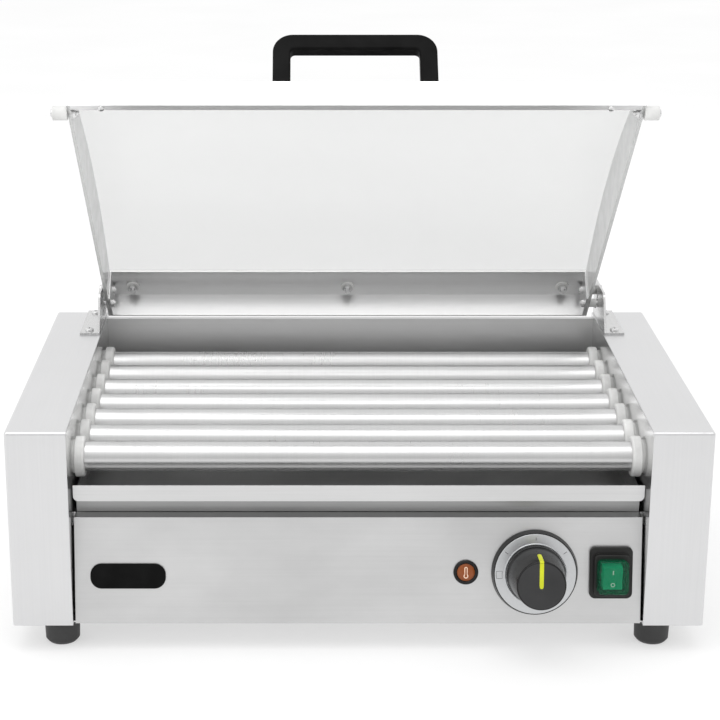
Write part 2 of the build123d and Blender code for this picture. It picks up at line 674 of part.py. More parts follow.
# ------------------------------------------------------------------ controls
def dial_bezel():
    """Black tapered boss under the dial, with a shallow seat for it."""
    profile = [
        (THERMOSTAT_NECK_R + HOLE_GAP, 0),
        (BEZEL_R, 0),
        (BEZEL_R, BEZEL_EDGE),
        (BEZEL_TOP_R, BEZEL_HEIGHT),
        (DIAL_R + PRESS_GAP, BEZEL_HEIGHT),
        (DIAL_R + PRESS_GAP, DIAL_SEAT),
        (THERMOSTAT_NECK_R + HOLE_GAP, DIAL_SEAT),
    ]
    return on_panel(DIAL_X, CONTROL_UP, revolved(profile))


def dial_plate():
    """Silver scale disc with a raised rim round the knob."""
    top = DIAL_SEAT + DIAL_THICKNESS
    profile = [
        (THERMOSTAT_NECK_R + HOLE_GAP, DIAL_SEAT),
        (DIAL_R, DIAL_SEAT),
        (DIAL_R, top - DIAL_CHAMFER),
        (DIAL_R - DIAL_CHAMFER, top),
        (DIAL_RIM_R, top),
        (DIAL_RIM_R - DIAL_RIM_SLOPE, top + DIAL_RIM_RISE),
        (DIAL_RIM_R - 2 * DIAL_RIM_SLOPE, top + DIAL_RIM_RISE),
        (DIAL_RIM_R - 3 * DIAL_RIM_SLOPE, top - DIAL_WELL_DEPTH),
        (THERMOSTAT_NECK_R + HOLE_GAP, top - DIAL_WELL_DEPTH),
    ]
    return on_panel(DIAL_X, CONTROL_UP, revolved(profile))


def knob():
    """Tapered control knob with a round skirt and a bore for the spindle."""
    skirt = KNOB_FLOAT + KNOB_SKIRT
    profile = [
        (SPINDLE_R + PRESS_GAP, KNOB_FLOAT),
        (KNOB_SKIRT_R, KNOB_FLOAT),
        (KNOB_SKIRT_R, skirt),
        (KNOB_SKIRT_R - KNOB_SHOULDER[0], skirt + KNOB_SHOULDER[1]),
        (KNOB_FACE_R + KNOB_EDGE, KNOB_HEIGHT - KNOB_CROWN[0]),
        (KNOB_FACE_R + KNOB_EDGE, KNOB_HEIGHT - KNOB_CROWN[1]),
        (KNOB_FACE_R - KNOB_EDGE, KNOB_HEIGHT),
        (0, KNOB_HEIGHT),
        (0, KNOB_FLOAT + KNOB_BORE_DEPTH),
        (SPINDLE_R + PRESS_GAP, KNOB_FLOAT + KNOB_BORE_DEPTH),
    ]
    return on_panel(DIAL_X, CONTROL_UP, revolved(profile))


def thermostat_spindle():
    """Spindle from inside the thermostat to the bottom of the knob's bore."""
    spindle = disc(SPINDLE_R, (-SHEET - SPINDLE_IN, KNOB_FLOAT + KNOB_BORE_DEPTH))
    return on_panel(DIAL_X, CONTROL_UP, spindle)


def thermostat():
    """Thermostat body behind the panel, its threaded neck through the panel."""
    wide, high, deep = THERMOSTAT_SIZE
    body = block((-wide / 2, wide / 2), (-high / 2, high / 2), (-SHEET - deep, -SHEET))
    body += disc(THERMOSTAT_NECK_R, (-SHEET - 1, DIAL_SEAT + DIAL_THICKNESS))
    body -= disc(SPINDLE_R + RUN_GAP, (-SHEET - SPINDLE_IN - SPINDLE_END_GAP, KNOB_FLOAT))
    return on_panel(DIAL_X, CONTROL_UP, body)


def lamp_ring():
    """Pilot lamp's collar and body."""
    profile = [
        (LAMP_LENS_R + PRESS_GAP, LAMP_SEAT),
        (LAMP_LENS_R + PRESS_GAP, LAMP_RING_HEIGHT - LAMP_RING_EDGE),
        (LAMP_LENS_R + LAMP_RING_EDGE, LAMP_RING_HEIGHT),
        (LAMP_RING_R - LAMP_RING_EDGE, LAMP_RING_HEIGHT),
        (LAMP_RING_R, LAMP_RING_HEIGHT - LAMP_RING_EDGE),
        (LAMP_RING_R, 0),
        (LAMP_BODY_R, 0),
        (LAMP_BODY_R, -LAMP_BODY_DEPTH),
        (0, -LAMP_BODY_DEPTH),
        (0, LAMP_SEAT),
    ]
    return on_panel(LAMP_X, CONTROL_UP, revolved(profile))


def lamp_lens():
    """Amber lens with a shallow dome."""
    profile = [
        (0, LAMP_SEAT),
        (LAMP_LENS_R, LAMP_SEAT),
        (LAMP_LENS_R, LENS_RIM_UP),
        (LAMP_LENS_R - LENS_SHOULDER[0], LENS_SHOULDER[1]),
        (0, LENS_TOP),
    ]
    return on_panel(LAMP_X, CONTROL_UP, revolved(profile))


def switch_frame():
    """Switch surround with a raised step, and the switch's body behind the panel."""
    frame = rounded_block(SWITCH_FRAME, SWITCH_CORNER_R, (0, SWITCH_FRAME_HEIGHT))
    frame = fillet(frame.edges().group_by(Axis.Z)[-1], SWITCH_EDGE_R)
    step_corner = SWITCH_CORNER_R - SWITCH_STEP_EDGE_R
    step = rounded_block(SWITCH_STEP, step_corner, (SWITCH_FRAME_HEIGHT - 1, SWITCH_STEP_HEIGHT))
    step = fillet(step.edges().group_by(Axis.Z)[-1], SWITCH_STEP_EDGE_R)
    step += rounded_block(SWITCH_BODY, SWITCH_BODY_CORNER_R, (-SWITCH_BODY_DEPTH, 1))
    frame += Pos(0, -SWITCH_DROP, 0) * step
    hollow_span = (-SWITCH_BODY_DEPTH + SWITCH_FLOOR, SWITCH_STEP_HEIGHT + 1)
    hollow = rounded_block(SWITCH_WINDOW, SWITCH_BODY_CORNER_R, hollow_span)
    lug_z = (ROCKER_PIVOT_UP - SWITCH_LUG_BELOW, ROCKER_PIVOT_UP + SWITCH_LUG_HALF)
    for side in (-1, 1):
        near = side * (ROCKER_SIZE[0] / 2 + SWITCH_LUG_SIDE_GAP)
        lug_x = sorted((near, side * SWITCH_WINDOW[0] / 2))
        hollow -= block(lug_x, (-SWITCH_LUG_HALF, SWITCH_LUG_HALF), lug_z)
    pin_reach = ROCKER_PIN_HALF + ROCKER_PIN_END_GAP
    pin_hole = rod_x((-pin_reach, pin_reach), 0, 0, ROCKER_PIN_R + RUN_GAP)
    hollow += Pos(0, 0, ROCKER_PIVOT_UP) * pin_hole
    return on_panel(SWITCH_X, CONTROL_UP, frame - Pos(0, -SWITCH_DROP, 0) * hollow)


def switch_boot():
    """Clear splash cover over the rocker."""
    outer = rounded_block(BOOT_SIZE, BOOT_CORNER_R, (SWITCH_STEP_HEIGHT, BOOT_HEIGHT))
    outer = fillet(outer.edges().group_by(Axis.Z)[-1], BOOT_EDGE_R)
    inner_size = [size - 2 * BOOT_WALL for size in BOOT_SIZE]
    inner_span = (SWITCH_STEP_HEIGHT - 1, BOOT_HEIGHT - BOOT_WALL)
    inner = rounded_block(inner_size, BOOT_CORNER_R - BOOT_WALL, inner_span)
    return on_panel(SWITCH_X, CONTROL_UP - SWITCH_DROP, outer - inner)


def rocker():
    """Rocker on its pin, tipped to the side that is pressed in."""
    body = block((-ROCKER_SIZE[0] / 2, ROCKER_SIZE[0] / 2), (-ROCKER_SIZE[1] / 2, ROCKER_SIZE[1] / 2),
                 (-ROCKER_BELOW_PIN, ROCKER_RISE - ROCKER_PIVOT_UP))
    body = fillet(body.edges().group_by(Axis.Z)[-1], ROCKER_EDGE_R)
    body += rod_x((-ROCKER_PIN_HALF, ROCKER_PIN_HALF), 0, 0, ROCKER_PIN_R)
    tipped = Pos(0, 0, ROCKER_PIVOT_UP) * Rot(ROCKER_ANGLE, 0, 0) * body
    return on_panel(SWITCH_X, CONTROL_UP - SWITCH_DROP, tipped)


def badge():
    """Plain rounded plate, bonded to the panel."""
    plate = extrude(RectangleRounded(*BADGE_SIZE, BADGE_CORNER_R), BADGE_THICKNESS)
    plate = fillet(plate.edges().group_by(Axis.Z)[-1], BADGE_EDGE_R)
    return on_panel(BADGE_X, BADGE_UP, plate)


# ------------------------------------------------------------------ lid, made closed
def pane_curve(extra):
    """Arc of the pane's lower face, raised by an extra height, as a sketch line in (Y, Z)."""
    (near, near_up), (far, far_up) = PANE_ENDS
    points = [(near, near_up), PANE_MIDDLE, (far, far_up)]
    placed = [(LID_FRONT_Y + along, LID_EDGE_Z + above + extra) for along, above in points]
    return ThreePointArc(*placed)


def yz_prism(face, x_span):
    """Extrude a sketch whose axes are (Y, Z) between two X limits."""
    frame = Plane(origin=(x_span[0], 0, 0), x_dir=(0, 1, 0), z_dir=(1, 0, 0))
    return frame.location * extrude(face, x_span[1] - x_span[0])


def pane_band(x_span, heights, along_span):
    """Slice that follows the pane's curve between two heights over the pane's lower face."""
    low, high = [pane_curve(height) for height in heights]
    face = make_face([low, high, Line(low @ 0, high @ 0), Line(low @ 1, high @ 1)])
    return yz_prism(face, x_span) & lid_block(x_span, along_span, (-LID_LENGTH, LID_LENGTH))


def lid_pane():
    """Bowed clear pane from the front rail to the rear rail."""
    pane = pane_band((LID_LEFT_X, LID_RIGHT_X), (0, PANE), (0, LID_LENGTH))
    return pane - clamp_holes()


def at_clamps(solid):
    """Copies at the three clamp bolts of a piece made so that Z = 0 is the pane's lower face."""
    curve = pane_curve(0)
    share = CLAMP_ALONG / LID_LENGTH
    place = curve @ share
    slope = curve % share
    copies = []
    for side in (-1, 0, 1):
        x = LID_SHIFT_X + side * PANE_BOLT_SPACING
        plane = Plane(origin=(x, place.X, place.Y), x_dir=(1, 0, 0), z_dir=(0, -slope.Y, slope.X))
        copies.append(plane.location * solid)
    return copies


def clamp_hole():
    """Hole for a clamp bolt, right through the pane, rail and washer."""
    return disc(PANE_BOLT_R + HOLE_GAP, (-2 * PANE, 2 * PANE))


def clamp_holes():
    """The three clamp bolts' holes, placed."""
    return Compound(at_clamps(clamp_hole()))


def lid_side(x_span):
    """Clear end panel under the pane's curve, bored for the hinge bolts."""
    low = pane_curve(0)
    corner_y = LID_FRONT_Y + PANE_ENDS[0][0]
    back_y = LID_FRONT_Y + PANE_ENDS[1][0]
    front = Line((corner_y, LID_EDGE_Z), low @ 0)
    back = Line(low @ 1, (back_y, LID_EDGE_Z))
    bottom = Line((back_y, LID_EDGE_Z), (corner_y, LID_EDGE_Z))
    panel = yz_prism(make_face([front, low, back, bottom]), x_span)
    return panel - hinge_bolt_holes()


def lid_left_side():
    return lid_side((LID_LEFT_X, LID_LEFT_X + LID_SIDE))


def lid_right_side():
    return lid_side((LID_RIGHT_X - LID_SIDE, LID_RIGHT_X))


def guide_place():
    """Centre of the guide bolt, seen with the lid closed."""
    angle = math.radians(GUIDE_REST_ANGLE + LID_OPEN_ANGLE)
    return PIVOT_Y + GUIDE_R * math.cos(angle), PIVOT_Z + GUIDE_R * math.sin(angle)


def hinge_bolt_holes():
    """Holes for the pivot and guide bolts across the whole lid."""
    span = (LID_LEFT_X - 1, LID_RIGHT_X + 1)
    guide_y, guide_z = guide_place()
    holes = rod_x(span, PIVOT_Y, PIVOT_Z, PIVOT_R + PRESS_GAP)
    return holes + rod_x(span, guide_y, guide_z, GUIDE_PIN_R + PRESS_GAP)


def lid_front_rail():
    """Folded trim round the pane's front edge."""
    span = (LID_LEFT_X, LID_RIGHT_X)
    rail = lid_block(span, (0, SHEET), (0, RAIL_FACE_HEIGHT))
    rail += pane_band(span, (PANE, PANE + SHEET), (SHEET, FRONT_RAIL_TOP))
    between_sides = (LID_LEFT_X + LID_SIDE, LID_RIGHT_X - LID_SIDE)
    return rail + lid_block(between_sides, (0, FRONT_RAIL_RETURN), (0, SHEET))


def lid_rear_rail():
    """Channel under the pane's back edge, with end tabs that carry the hinge bolts."""
    low, high = LID_LEFT_X + LID_SIDE, LID_RIGHT_X - LID_SIDE
    back = LID_LENGTH - REAR_RAIL_SHEET
    under = (REAR_RAIL_START, back)
    rail = pane_band((low, high), (-REAR_RAIL_SHEET, 0), under)
    rail += lid_block((LID_LEFT_X, LID_RIGHT_X), (back, LID_LENGTH), (0, PANE_BACK_ABOVE + PANE))
    above_rail = pane_band((low - 1, high + 1), (-REAR_RAIL_SHEET, LID_LENGTH), (0, LID_LENGTH))
    for span in ((low, low + REAR_RAIL_SHEET), (high - REAR_RAIL_SHEET, high)):
        rail += lid_block(span, under, (0, PANE_MIDDLE[1])) - above_rail
    rail -= hinge_bolt_holes()
    return rail - clamp_holes()


def lid_washers():
    """White washer under each clamp bolt's nut, inside the lid."""
    ring = disc(WASHER_R, (-REAR_RAIL_SHEET - WASHER, 0)) - clamp_hole()
    rail = pane_band((LID_LEFT_X, LID_RIGHT_X), (-REAR_RAIL_SHEET, PANE), (0, LID_LENGTH))
    return Compound([copy - rail for copy in at_clamps(ring)])


def lid_bolts():
    """Bolts that clamp the pane to the rear rail, domed outside and nutted inside."""
    head = disc(CLAMP_HEAD_R, (PANE / 2, PANE + CLAMP_HEAD))
    head = fillet(head.edges().group_by(Axis.Z)[-1], CLAMP_DOME_R)
    pane = pane_band((LID_LEFT_X, LID_RIGHT_X), (-PANE, PANE), (0, LID_LENGTH))
    nut_top = -REAR_RAIL_SHEET - WASHER
    shank_end = nut_top - CLAMP_NUT - CLAMP_BOLT_PROUD
    shank = disc(PANE_BOLT_R, (shank_end, PANE + CLAMP_HEAD / 2))
    nut = Pos(0, 0, nut_top - CLAMP_NUT) * extrude(RegularPolygon(CLAMP_NUT_R, 6), CLAMP_NUT)
    heads = [copy - pane for copy in at_clamps(head)]
    return Compound([top + rest for top, rest in zip(heads, at_clamps(shank + nut))])


def lid_handle():
    """Moulded bow handle on the front rail."""
    base = LID_EDGE_Z + RAIL_FACE_HEIGHT
    arch = RectangleRounded(HANDLE_WIDTH, 2 * HANDLE_HEIGHT, HANDLE_OUTER_R)
    hole = (HANDLE_WIDTH - 2 * HANDLE_BAR, 2 * (HANDLE_HEIGHT - HANDLE_BAR))
    arch -= RectangleRounded(*hole, HANDLE_INNER_R)
    arch -= Pos(0, -HANDLE_HEIGHT) * Rectangle(HANDLE_WIDTH + 2, 2 * HANDLE_HEIGHT)
    solid = extrude(arch, HANDLE_DEPTH)
    back_y = LID_FRONT_Y + HANDLE_ALONG + HANDLE_DEPTH / 2
    placed = Pos(LID_SHIFT_X, back_y, base) * Rot(90, 0, 0) * solid
    low = placed.edges().group_by(Axis.Z)[0]
    rounded = fillet(placed.edges() - low, HANDLE_EDGE_R)
    return rounded - pane_band((LID_LEFT_X, LID_RIGHT_X), (-PANE, PANE + SHEET), (0, LID_LENGTH))


def lid_bumpers():
    """White stub on each front corner, which lands on the housing when the lid closes."""
    above = BUMPER_R + BUMPER_REST_GAP - LID_EDGE_ABOVE_HOUSING
    left = lid_rod((LID_LEFT_X - BUMPER_OUT, LID_LEFT_X), BUMPER_ALONG, above, BUMPER_R)
    right = lid_rod((LID_RIGHT_X, LID_RIGHT_X + BUMPER_OUT), BUMPER_ALONG, above, BUMPER_R)
    return Compound([fillet(stub.edges().filter_by(GeomType.CIRCLE), BUMPER_EDGE_R) for stub in (left, right)])


def hinge_bolts():
    """Pivot and guide bolts through each bracket, lid side and rail tab."""
    guide_y, guide_z = guide_place()
    bolts = []
    for side in (-1, 1):
        edge = LID_LEFT_X if side < 0 else LID_RIGHT_X
        inner = edge - side * (LID_SIDE + REAR_RAIL_SHEET)
        outer = side * (BRACKET_X + BRACKET_SHEET + HINGE_HEAD_GAP)
        nut_end = inner - side * HINGE_NUT
        bolt_end = nut_end - side * HINGE_BOLT_PROUD
        for y, z, radius in ((PIVOT_Y, PIVOT_Z, PIVOT_R), (guide_y, guide_z, GUIDE_PIN_R)):
            bolt = rod_x(sorted((bolt_end, outer + side)), y, z, radius)
            bolt += rod_x(sorted((nut_end, inner)), y, z, radius + HINGE_NUT_OVER)
            head = rod_x(sorted((outer, outer + side * HINGE_HEAD)), y, z, radius + HINGE_HEAD_OVER)
            rims = head.edges().filter_by(GeomType.CIRCLE)
            bolts.append(bolt + fillet(rims, HINGE_HEAD_EDGE_R))
    return Compound(bolts)


# ------------------------------------------------------------------ hinge brackets
def bracket_outline():
    """Upright plate with a leaning front edge and round upper corners, in (Y, Z)."""
    back = BODY_DEPTH - COVER_BEND
    top = TOP_Z + BRACKET_HEIGHT
    points = [(BRACKET_FRONT_Y, TOP_Z), (BRACKET_FRONT_Y + BRACKET_LEAN, top), (back, top), (back, TOP_Z)]
    face = make_face(Polyline(*points, close=True))
    return fillet(face.vertices().group_by(Axis.Y)[-1], BRACKET_CORNER_R)


def guide_slot():
    """Arc slot that the guide bolt runs in, a little longer than the lid's swing."""
    start = math.radians(GUIDE_REST_ANGLE + LID_OPEN_ANGLE + GUIDE_OVERRUN)
    end = math.radians(GUIDE_REST_ANGLE - LID_OPENS_TO - GUIDE_OVERRUN)
    half = GUIDE_PIN_R + GUIDE_GAP
    middle = (start + end) / 2
    places = [(GUIDE_R * math.cos(a), GUIDE_R * math.sin(a)) for a in (start, middle, end)]
    arcs = []
    for radius in (GUIDE_R - half, GUIDE_R + half):
        arcs.append(ThreePointArc(*[(radius * x / GUIDE_R, radius * y / GUIDE_R) for x, y in places]))
    band = make_face([*arcs, Line(arcs[0] @ 0, arcs[1] @ 0), Line(arcs[0] @ 1, arcs[1] @ 1)])
    band += Pos(*places[0]) * Circle(half)
    band += Pos(*places[2]) * Circle(half)
    return Pos(PIVOT_Y, PIVOT_Z) * band


def hinge_bracket():
    """Right hinge bracket: upright plate and a foot screwed to the housing's top."""
    span = (BRACKET_X, BRACKET_X + BRACKET_SHEET)
    plate = yz_prism(bracket_outline(), span)
    plate += block((BRACKET_X, BRACKET_X + BRACKET_FOOT), (BRACKET_FRONT_Y, BODY_DEPTH - COVER_BEND),
                   (TOP_Z, TOP_Z + BRACKET_SHEET))
    plate -= yz_prism(guide_slot(), (span[0] - 1, span[1] + 1))
    return plate - rod_x((span[0] - 1, span[1] + 1), PIVOT_Y, PIVOT_Z, PIVOT_R + RUN_GAP)


def bracket_screws():
    """Pan heads of the two screws that hold each bracket's foot down."""
    x = BRACKET_X + BRACKET_SCREW_OUT
    top = TOP_Z + BRACKET_SHEET
    ys = (BRACKET_FRONT_Y + BRACKET_SCREW_INSET, BODY_DEPTH - COVER_BEND - BRACKET_SCREW_INSET)
    screws = []
    for side in (-1, 1):
        for y in ys:
            head = disc(BRACKET_SCREW_R, (top, top + BRACKET_SCREW_HEAD), side * x, y)
            screws.append(fillet(head.edges().group_by(Axis.Z)[-1], BRACKET_SCREW_DOME_R))
    return Compound(screws)


# ------------------------------------------------------------------ the whole grill
def fixed_parts():
    parts = {
        "left_cover": mirrored(housing_cover()),
        "right_cover": housing_cover(),
        "left_bearing_plate": mirrored(bearing_plate()),
        "right_bearing_plate": bearing_plate(),
        "base_pan": base_pan(),
        "front_panel": front_panel(),
        "tray_deck": tray_deck(),
        "rear_panel": rear_panel(),
        "foot_screws": foot_screws(),
        "roller_bushes": roller_bushes(),
        "heater_rods": heater_rods(),
        "heater_bars": heater_bars(),
        "gearmotor": gearmotor(),
        "drive_chain": drive_chain(),
        "left_hinge_bracket": mirrored(hinge_bracket()),
        "right_hinge_bracket": hinge_bracket(),
        "bracket_screws": bracket_screws(),
        "dial_bezel": dial_bezel(),
        "dial_plate": dial_plate(),
        "thermostat": thermostat(),
        "lamp_ring": lamp_ring(),
        "lamp_lens": lamp_lens(),
        "switch_frame": switch_frame(),
        "switch_boot": switch_boot(),
        "badge": badge(),
        "terminal_block": terminal_block(),
        "cable_gland": cable_gland(),
    }
    names = ("foot_front_left", "foot_front_right", "foot_rear_left", "foot_rear_right")
    for name, (x, y) in zip(names, foot_places()):
        parts[name] = foot(x, y)
    return parts


def moving_parts():
    parts = {
        "drive_sprocket": drive_sprocket(),
        "drip_tray": drip_tray(),
        "knob": knob(),
        "thermostat_spindle": thermostat_spindle(),
        "rocker": rocker(),
    }
    for number, y in enumerate(ROLLER_YS, start=1):
        parts[f"roller_{number}"] = roller(y)
        parts[f"sprocket_{number}"] = sprocket(y)
    return parts


def lid_parts():
    closed = {
        "lid_front_rail": lid_front_rail(),
        "lid_rear_rail": lid_rear_rail(),
        "lid_pane": lid_pane(),
        "lid_left_side": lid_left_side(),
        "lid_right_side": lid_right_side(),
        "lid_handle": lid_handle(),
        "lid_washers": lid_washers(),
        "lid_bolts": lid_bolts(),
        "lid_bumpers": lid_bumpers(),
        "hinge_bolts": hinge_bolts(),
    }
    return {name: opened(solid) for name, solid in closed.items()}


def centred(parts):
    """Move the grill so that the origin is under the middle of its overall box."""
    overall = Compound([solid for part in parts.values() for solid in part.solids()]).bounding_box()
    shift = Pos(0, -(overall.min.Y + overall.max.Y) / 2, 0)
    return {name: shift * part for name, part in parts.items()}, shift.position.Y


PARTS, SHIFT_Y = centred({**fixed_parts(), **moving_parts(), **lid_parts()})

os.makedirs("parts", exist_ok=True)
for node, part in PARTS.items():
    export_step(part, f"parts/{node}.step")
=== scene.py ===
import json
import math

import bmesh
import bpy
from mathutils import Matrix, Vector


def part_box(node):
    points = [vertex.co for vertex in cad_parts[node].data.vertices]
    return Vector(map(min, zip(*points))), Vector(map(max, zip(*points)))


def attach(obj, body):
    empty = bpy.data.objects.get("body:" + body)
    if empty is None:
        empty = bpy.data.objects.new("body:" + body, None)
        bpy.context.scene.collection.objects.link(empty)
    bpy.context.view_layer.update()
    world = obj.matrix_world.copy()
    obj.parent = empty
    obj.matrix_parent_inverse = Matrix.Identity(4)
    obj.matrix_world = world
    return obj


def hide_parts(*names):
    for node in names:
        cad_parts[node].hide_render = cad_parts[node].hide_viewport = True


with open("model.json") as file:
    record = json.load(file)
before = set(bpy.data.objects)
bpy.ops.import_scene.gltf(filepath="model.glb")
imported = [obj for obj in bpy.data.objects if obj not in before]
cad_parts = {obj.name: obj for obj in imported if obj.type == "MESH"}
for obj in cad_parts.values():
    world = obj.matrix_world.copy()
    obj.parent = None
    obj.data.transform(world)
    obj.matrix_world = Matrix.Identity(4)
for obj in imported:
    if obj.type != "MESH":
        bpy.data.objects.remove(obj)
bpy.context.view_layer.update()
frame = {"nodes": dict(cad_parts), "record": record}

MM = 0.001
IDENTITY = Matrix.Identity(4)
ALONG_X = (1, 0, 0)
ALONG_Y = (0, 1, 0)

# sizes of the pieces made here, in millimetres, on the panel's outward axis unless said otherwise
KNOB_BORE_R = 3.02
KNOB_FLOAT = 9.2
KNOB_HEIGHT = 50.0
KNOB_RIM = (20.5, 49.3)
KNOB_FACE_EDGE = (19.5, KNOB_HEIGHT)
KNOB_AXIS_POINT_HEIGHT = 20.0
POINTER_SUNK = 0.6
POINTER_TOP_SHARE = 0.85
DIAL_TOP = 7.8
MARK_SUNK = 0.3
MARK_PROUD = 0.05
TICK_HALF_WIDTH = 0.24
TICKS = ((0.0, 29.2, 31.8), (53.5, 29.2, 32.6), (-53.5, 29.2, 32.6))
FIELD_MIDDLE = -91
FIELD_LINE = 0.3
FIELD_SWEEP = 0.01
LENS_MIDDLE = 1.6
SIGN_BULB_R = 1.55
SIGN_BULB_Y = -3.0
SIGN_STEM_HALF = 0.95
SIGN_TOP_Y = 3.6
SIGN_LINE = (-0.35, 0.5)
SIGN_SPAN = (2.0, 3.0)
ROCKER_TOP = 9.8
BAR_HALF_WIDTH = 0.45
BAR_SPAN = (3.6, 7.2)
RING_Y = -5.6
RING_R = (1.25, 1.85)
FOOT_HEAD = (4.2, 2.2)
RAIL_HEAD = (2.9, 2.4, 1.5)
RAIL_SCREW_XS = (-214.0, 208.0)
RAIL_SCREW_ALONG = 4.0
BUMPER_HEAD = (3.6, 1.6, 2.0)
BUMPER_WASHER = (1.9, 5.2, 0.9)
BUMPER_NUT_R = 4.0
BUMPER_NUT_TOP = 4.0
SLEEVE_WALL = 1.6
SLEEVE_EDGE = 0.3
GUIDE_HEAD_R = 4.5
PIVOT_ALONG = 358.0
PIVOT_ABOVE = 20.6
FLOOR_HALF = 9000.0
NODES = frame["nodes"]
JOINTS = {joint["name"]: joint for joint in frame["record"]["behaviour"]["joints"]}


# ------------------------------------------------------------------ shading helpers
# painted shade beyond a place on a part: width of its soft edge, and the share of the shaded level at its
# darkest
PAINTED_SHADE_EDGE = 0.002
PAINTED_SHADE_DEPTH = 0.75
BRIGHTEST = 0.98


def new_material(name):
    """Material with a Principled shader; returns it with its node tree and shader."""
    material = bpy.data.materials.new(name)
    material.use_nodes = True
    tree = material.node_tree
    return material, tree, tree.nodes["Principled BSDF"]


def link(tree, source, target):
    tree.links.new(source, target)


def object_coordinates(tree, stretch):
    """Object coordinates in metres, stretched on each axis."""
    coordinates = tree.nodes.new("ShaderNodeTexCoord")
    mapping = tree.nodes.new("ShaderNodeMapping")
    mapping.inputs["Scale"].default_value = stretch
    link(tree, coordinates.outputs["Object"], mapping.inputs["Vector"])
    return mapping.outputs["Vector"]


def noise(tree, stretch, detail=3.0, roughness=0.55):
    """Noise value over object coordinates."""
    node = tree.nodes.new("ShaderNodeTexNoise")
    node.inputs["Scale"].default_value = 1.0
    node.inputs["Detail"].default_value = detail
    node.inputs["Roughness"].default_value = roughness
    link(tree, object_coordinates(tree, stretch), node.inputs["Vector"])
    return node.outputs["Fac"]


def spread(tree, value, low, high, start=0.3, end=0.7):
    """Map a noise value onto a range."""
    node = tree.nodes.new("ShaderNodeMapRange")
    node.inputs["From Min"].default_value = start
    node.inputs["From Max"].default_value = end
    node.inputs["To Min"].default_value = low
    node.inputs["To Max"].default_value = high
    link(tree, value, node.inputs["Value"])
    return node.outputs["Result"]


def combine(tree, operation, first, second):
    """One value worked out from two; the second may be a plain number."""
    node = tree.nodes.new("ShaderNodeMath")
    node.operation = operation
    link(tree, first, node.inputs[0])
    if isinstance(second, float):
        node.inputs[1].default_value = second
    else:
        link(tree, second, node.inputs[1])
    return node.outputs["Value"]


def blend_values(tree, factor, first, second):
    """First value where the factor is 0, second where it is 1."""
    node = tree.nodes.new("ShaderNodeMix")
    node.data_type = "FLOAT"
    link(tree, factor, node.inputs["Factor"])
    link(tree, first, node.inputs[2])
    link(tree, second, node.inputs[3])
    return node.outputs[0]


def tinted(tree, factor, dark, light):
    """Colour between two, by a value."""
    node = tree.nodes.new("ShaderNodeMix")
    node.data_type = "RGBA"
    link(tree, factor, node.inputs["Factor"])
    node.inputs[6].default_value = (*dark, 1.0)
    node.inputs[7].default_value = (*light, 1.0)
    return node.outputs[2]


def texture_parts(tree, output):
    """One of the texture coordinates, split into X, Y and Z."""
    coordinates = tree.nodes.new("ShaderNodeTexCoord")
    parts = tree.nodes.new("ShaderNodeSeparateXYZ")
    link(tree, coordinates.outputs[output], parts.inputs["Vector"])
    return parts.outputs


def facing(tree, axis):
    """1 on faces that look along an axis, 0 on the others."""
    look = texture_parts(tree, "Normal")[axis]
    size = combine(tree, "MULTIPLY", look, look)
    return spread(tree, size, 0.0, 1.0, 0.45, 0.55)


def painted_shade_beyond(tree, colour, tone, axis, limit, level):
    """Painted shade: replace a colour with a darker level beyond a place along an axis."""
    mix = tree.nodes.new("ShaderNodeMix")
    mix.data_type = "RGBA"
    place = texture_parts(tree, "Object")[axis]
    link(tree, spread(tree, place, 0.0, 1.0, limit, limit + PAINTED_SHADE_EDGE), mix.inputs["Factor"])
    link(tree, colour, mix.inputs[6])
    low = tuple(value * PAINTED_SHADE_DEPTH for value in level)
    link(tree, tinted(tree, tone, low, level), mix.inputs[7])
    return mix.outputs[2]


def relief(tree, shader, height, distance, edge_radius=0.0):
    """Bump from a height value, over edges rounded in the shading."""
    bump = tree.nodes.new("ShaderNodeBump")
    bump.inputs["Strength"].default_value = 1.0
    bump.inputs["Distance"].default_value = distance
    link(tree, height, bump.inputs["Height"])
    if edge_radius:
        edge = tree.nodes.new("ShaderNodeBevel")
        edge.samples = 4
        edge.inputs["Radius"].default_value = edge_radius
        link(tree, edge.outputs["Normal"], bump.inputs["Normal"])
    link(tree, bump.outputs["Normal"], shader.inputs["Normal"])


def steel(name, level, streak, turned=None, rough=(0.2, 0.36), groove=0.000006, cloud=7.0,
          edge=0.0005, cloud_share=0.6, depth=0.1, painted_shade=None):
    """Brushed or ground stainless steel, cloudy at a larger scale.

    turned is (axis, streak) for the faces that look along that axis. The last argument is (axis, limit,
    level):
    beyond that place along the axis the steel is painted darker, a painted shade standing in for shadow.
    """
    material, tree, shader = new_material(name)
    shader.inputs["Metallic"].default_value = 1.0
    grain = noise(tree, streak)
    if turned:
        grain = blend_values(tree, facing(tree, turned[0]), grain, noise(tree, turned[1]))
    patches = noise(tree, (cloud, cloud * 1.3, cloud * 1.7), detail=4.0)
    tone = combine(tree, "ADD", combine(tree, "MULTIPLY", grain, 1 - cloud_share),
                   combine(tree, "MULTIPLY", patches, cloud_share))
    dark = tuple(value * (1 - depth) for value in level)
    light = tuple(min(value * (1 + depth / 2), BRIGHTEST) for value in level)
    colour = tinted(tree, spread(tree, tone, 0.0, 1.0), dark, light)
    if painted_shade:
        colour = painted_shade_beyond(tree, colour, spread(tree, tone, 0.0, 1.0), *painted_shade)
    link(tree, colour, shader.inputs["Base Color"])
    link(tree, spread(tree, tone, *rough), shader.inputs["Roughness"])
    relief(tree, shader, grain, groove, edge)
    return material


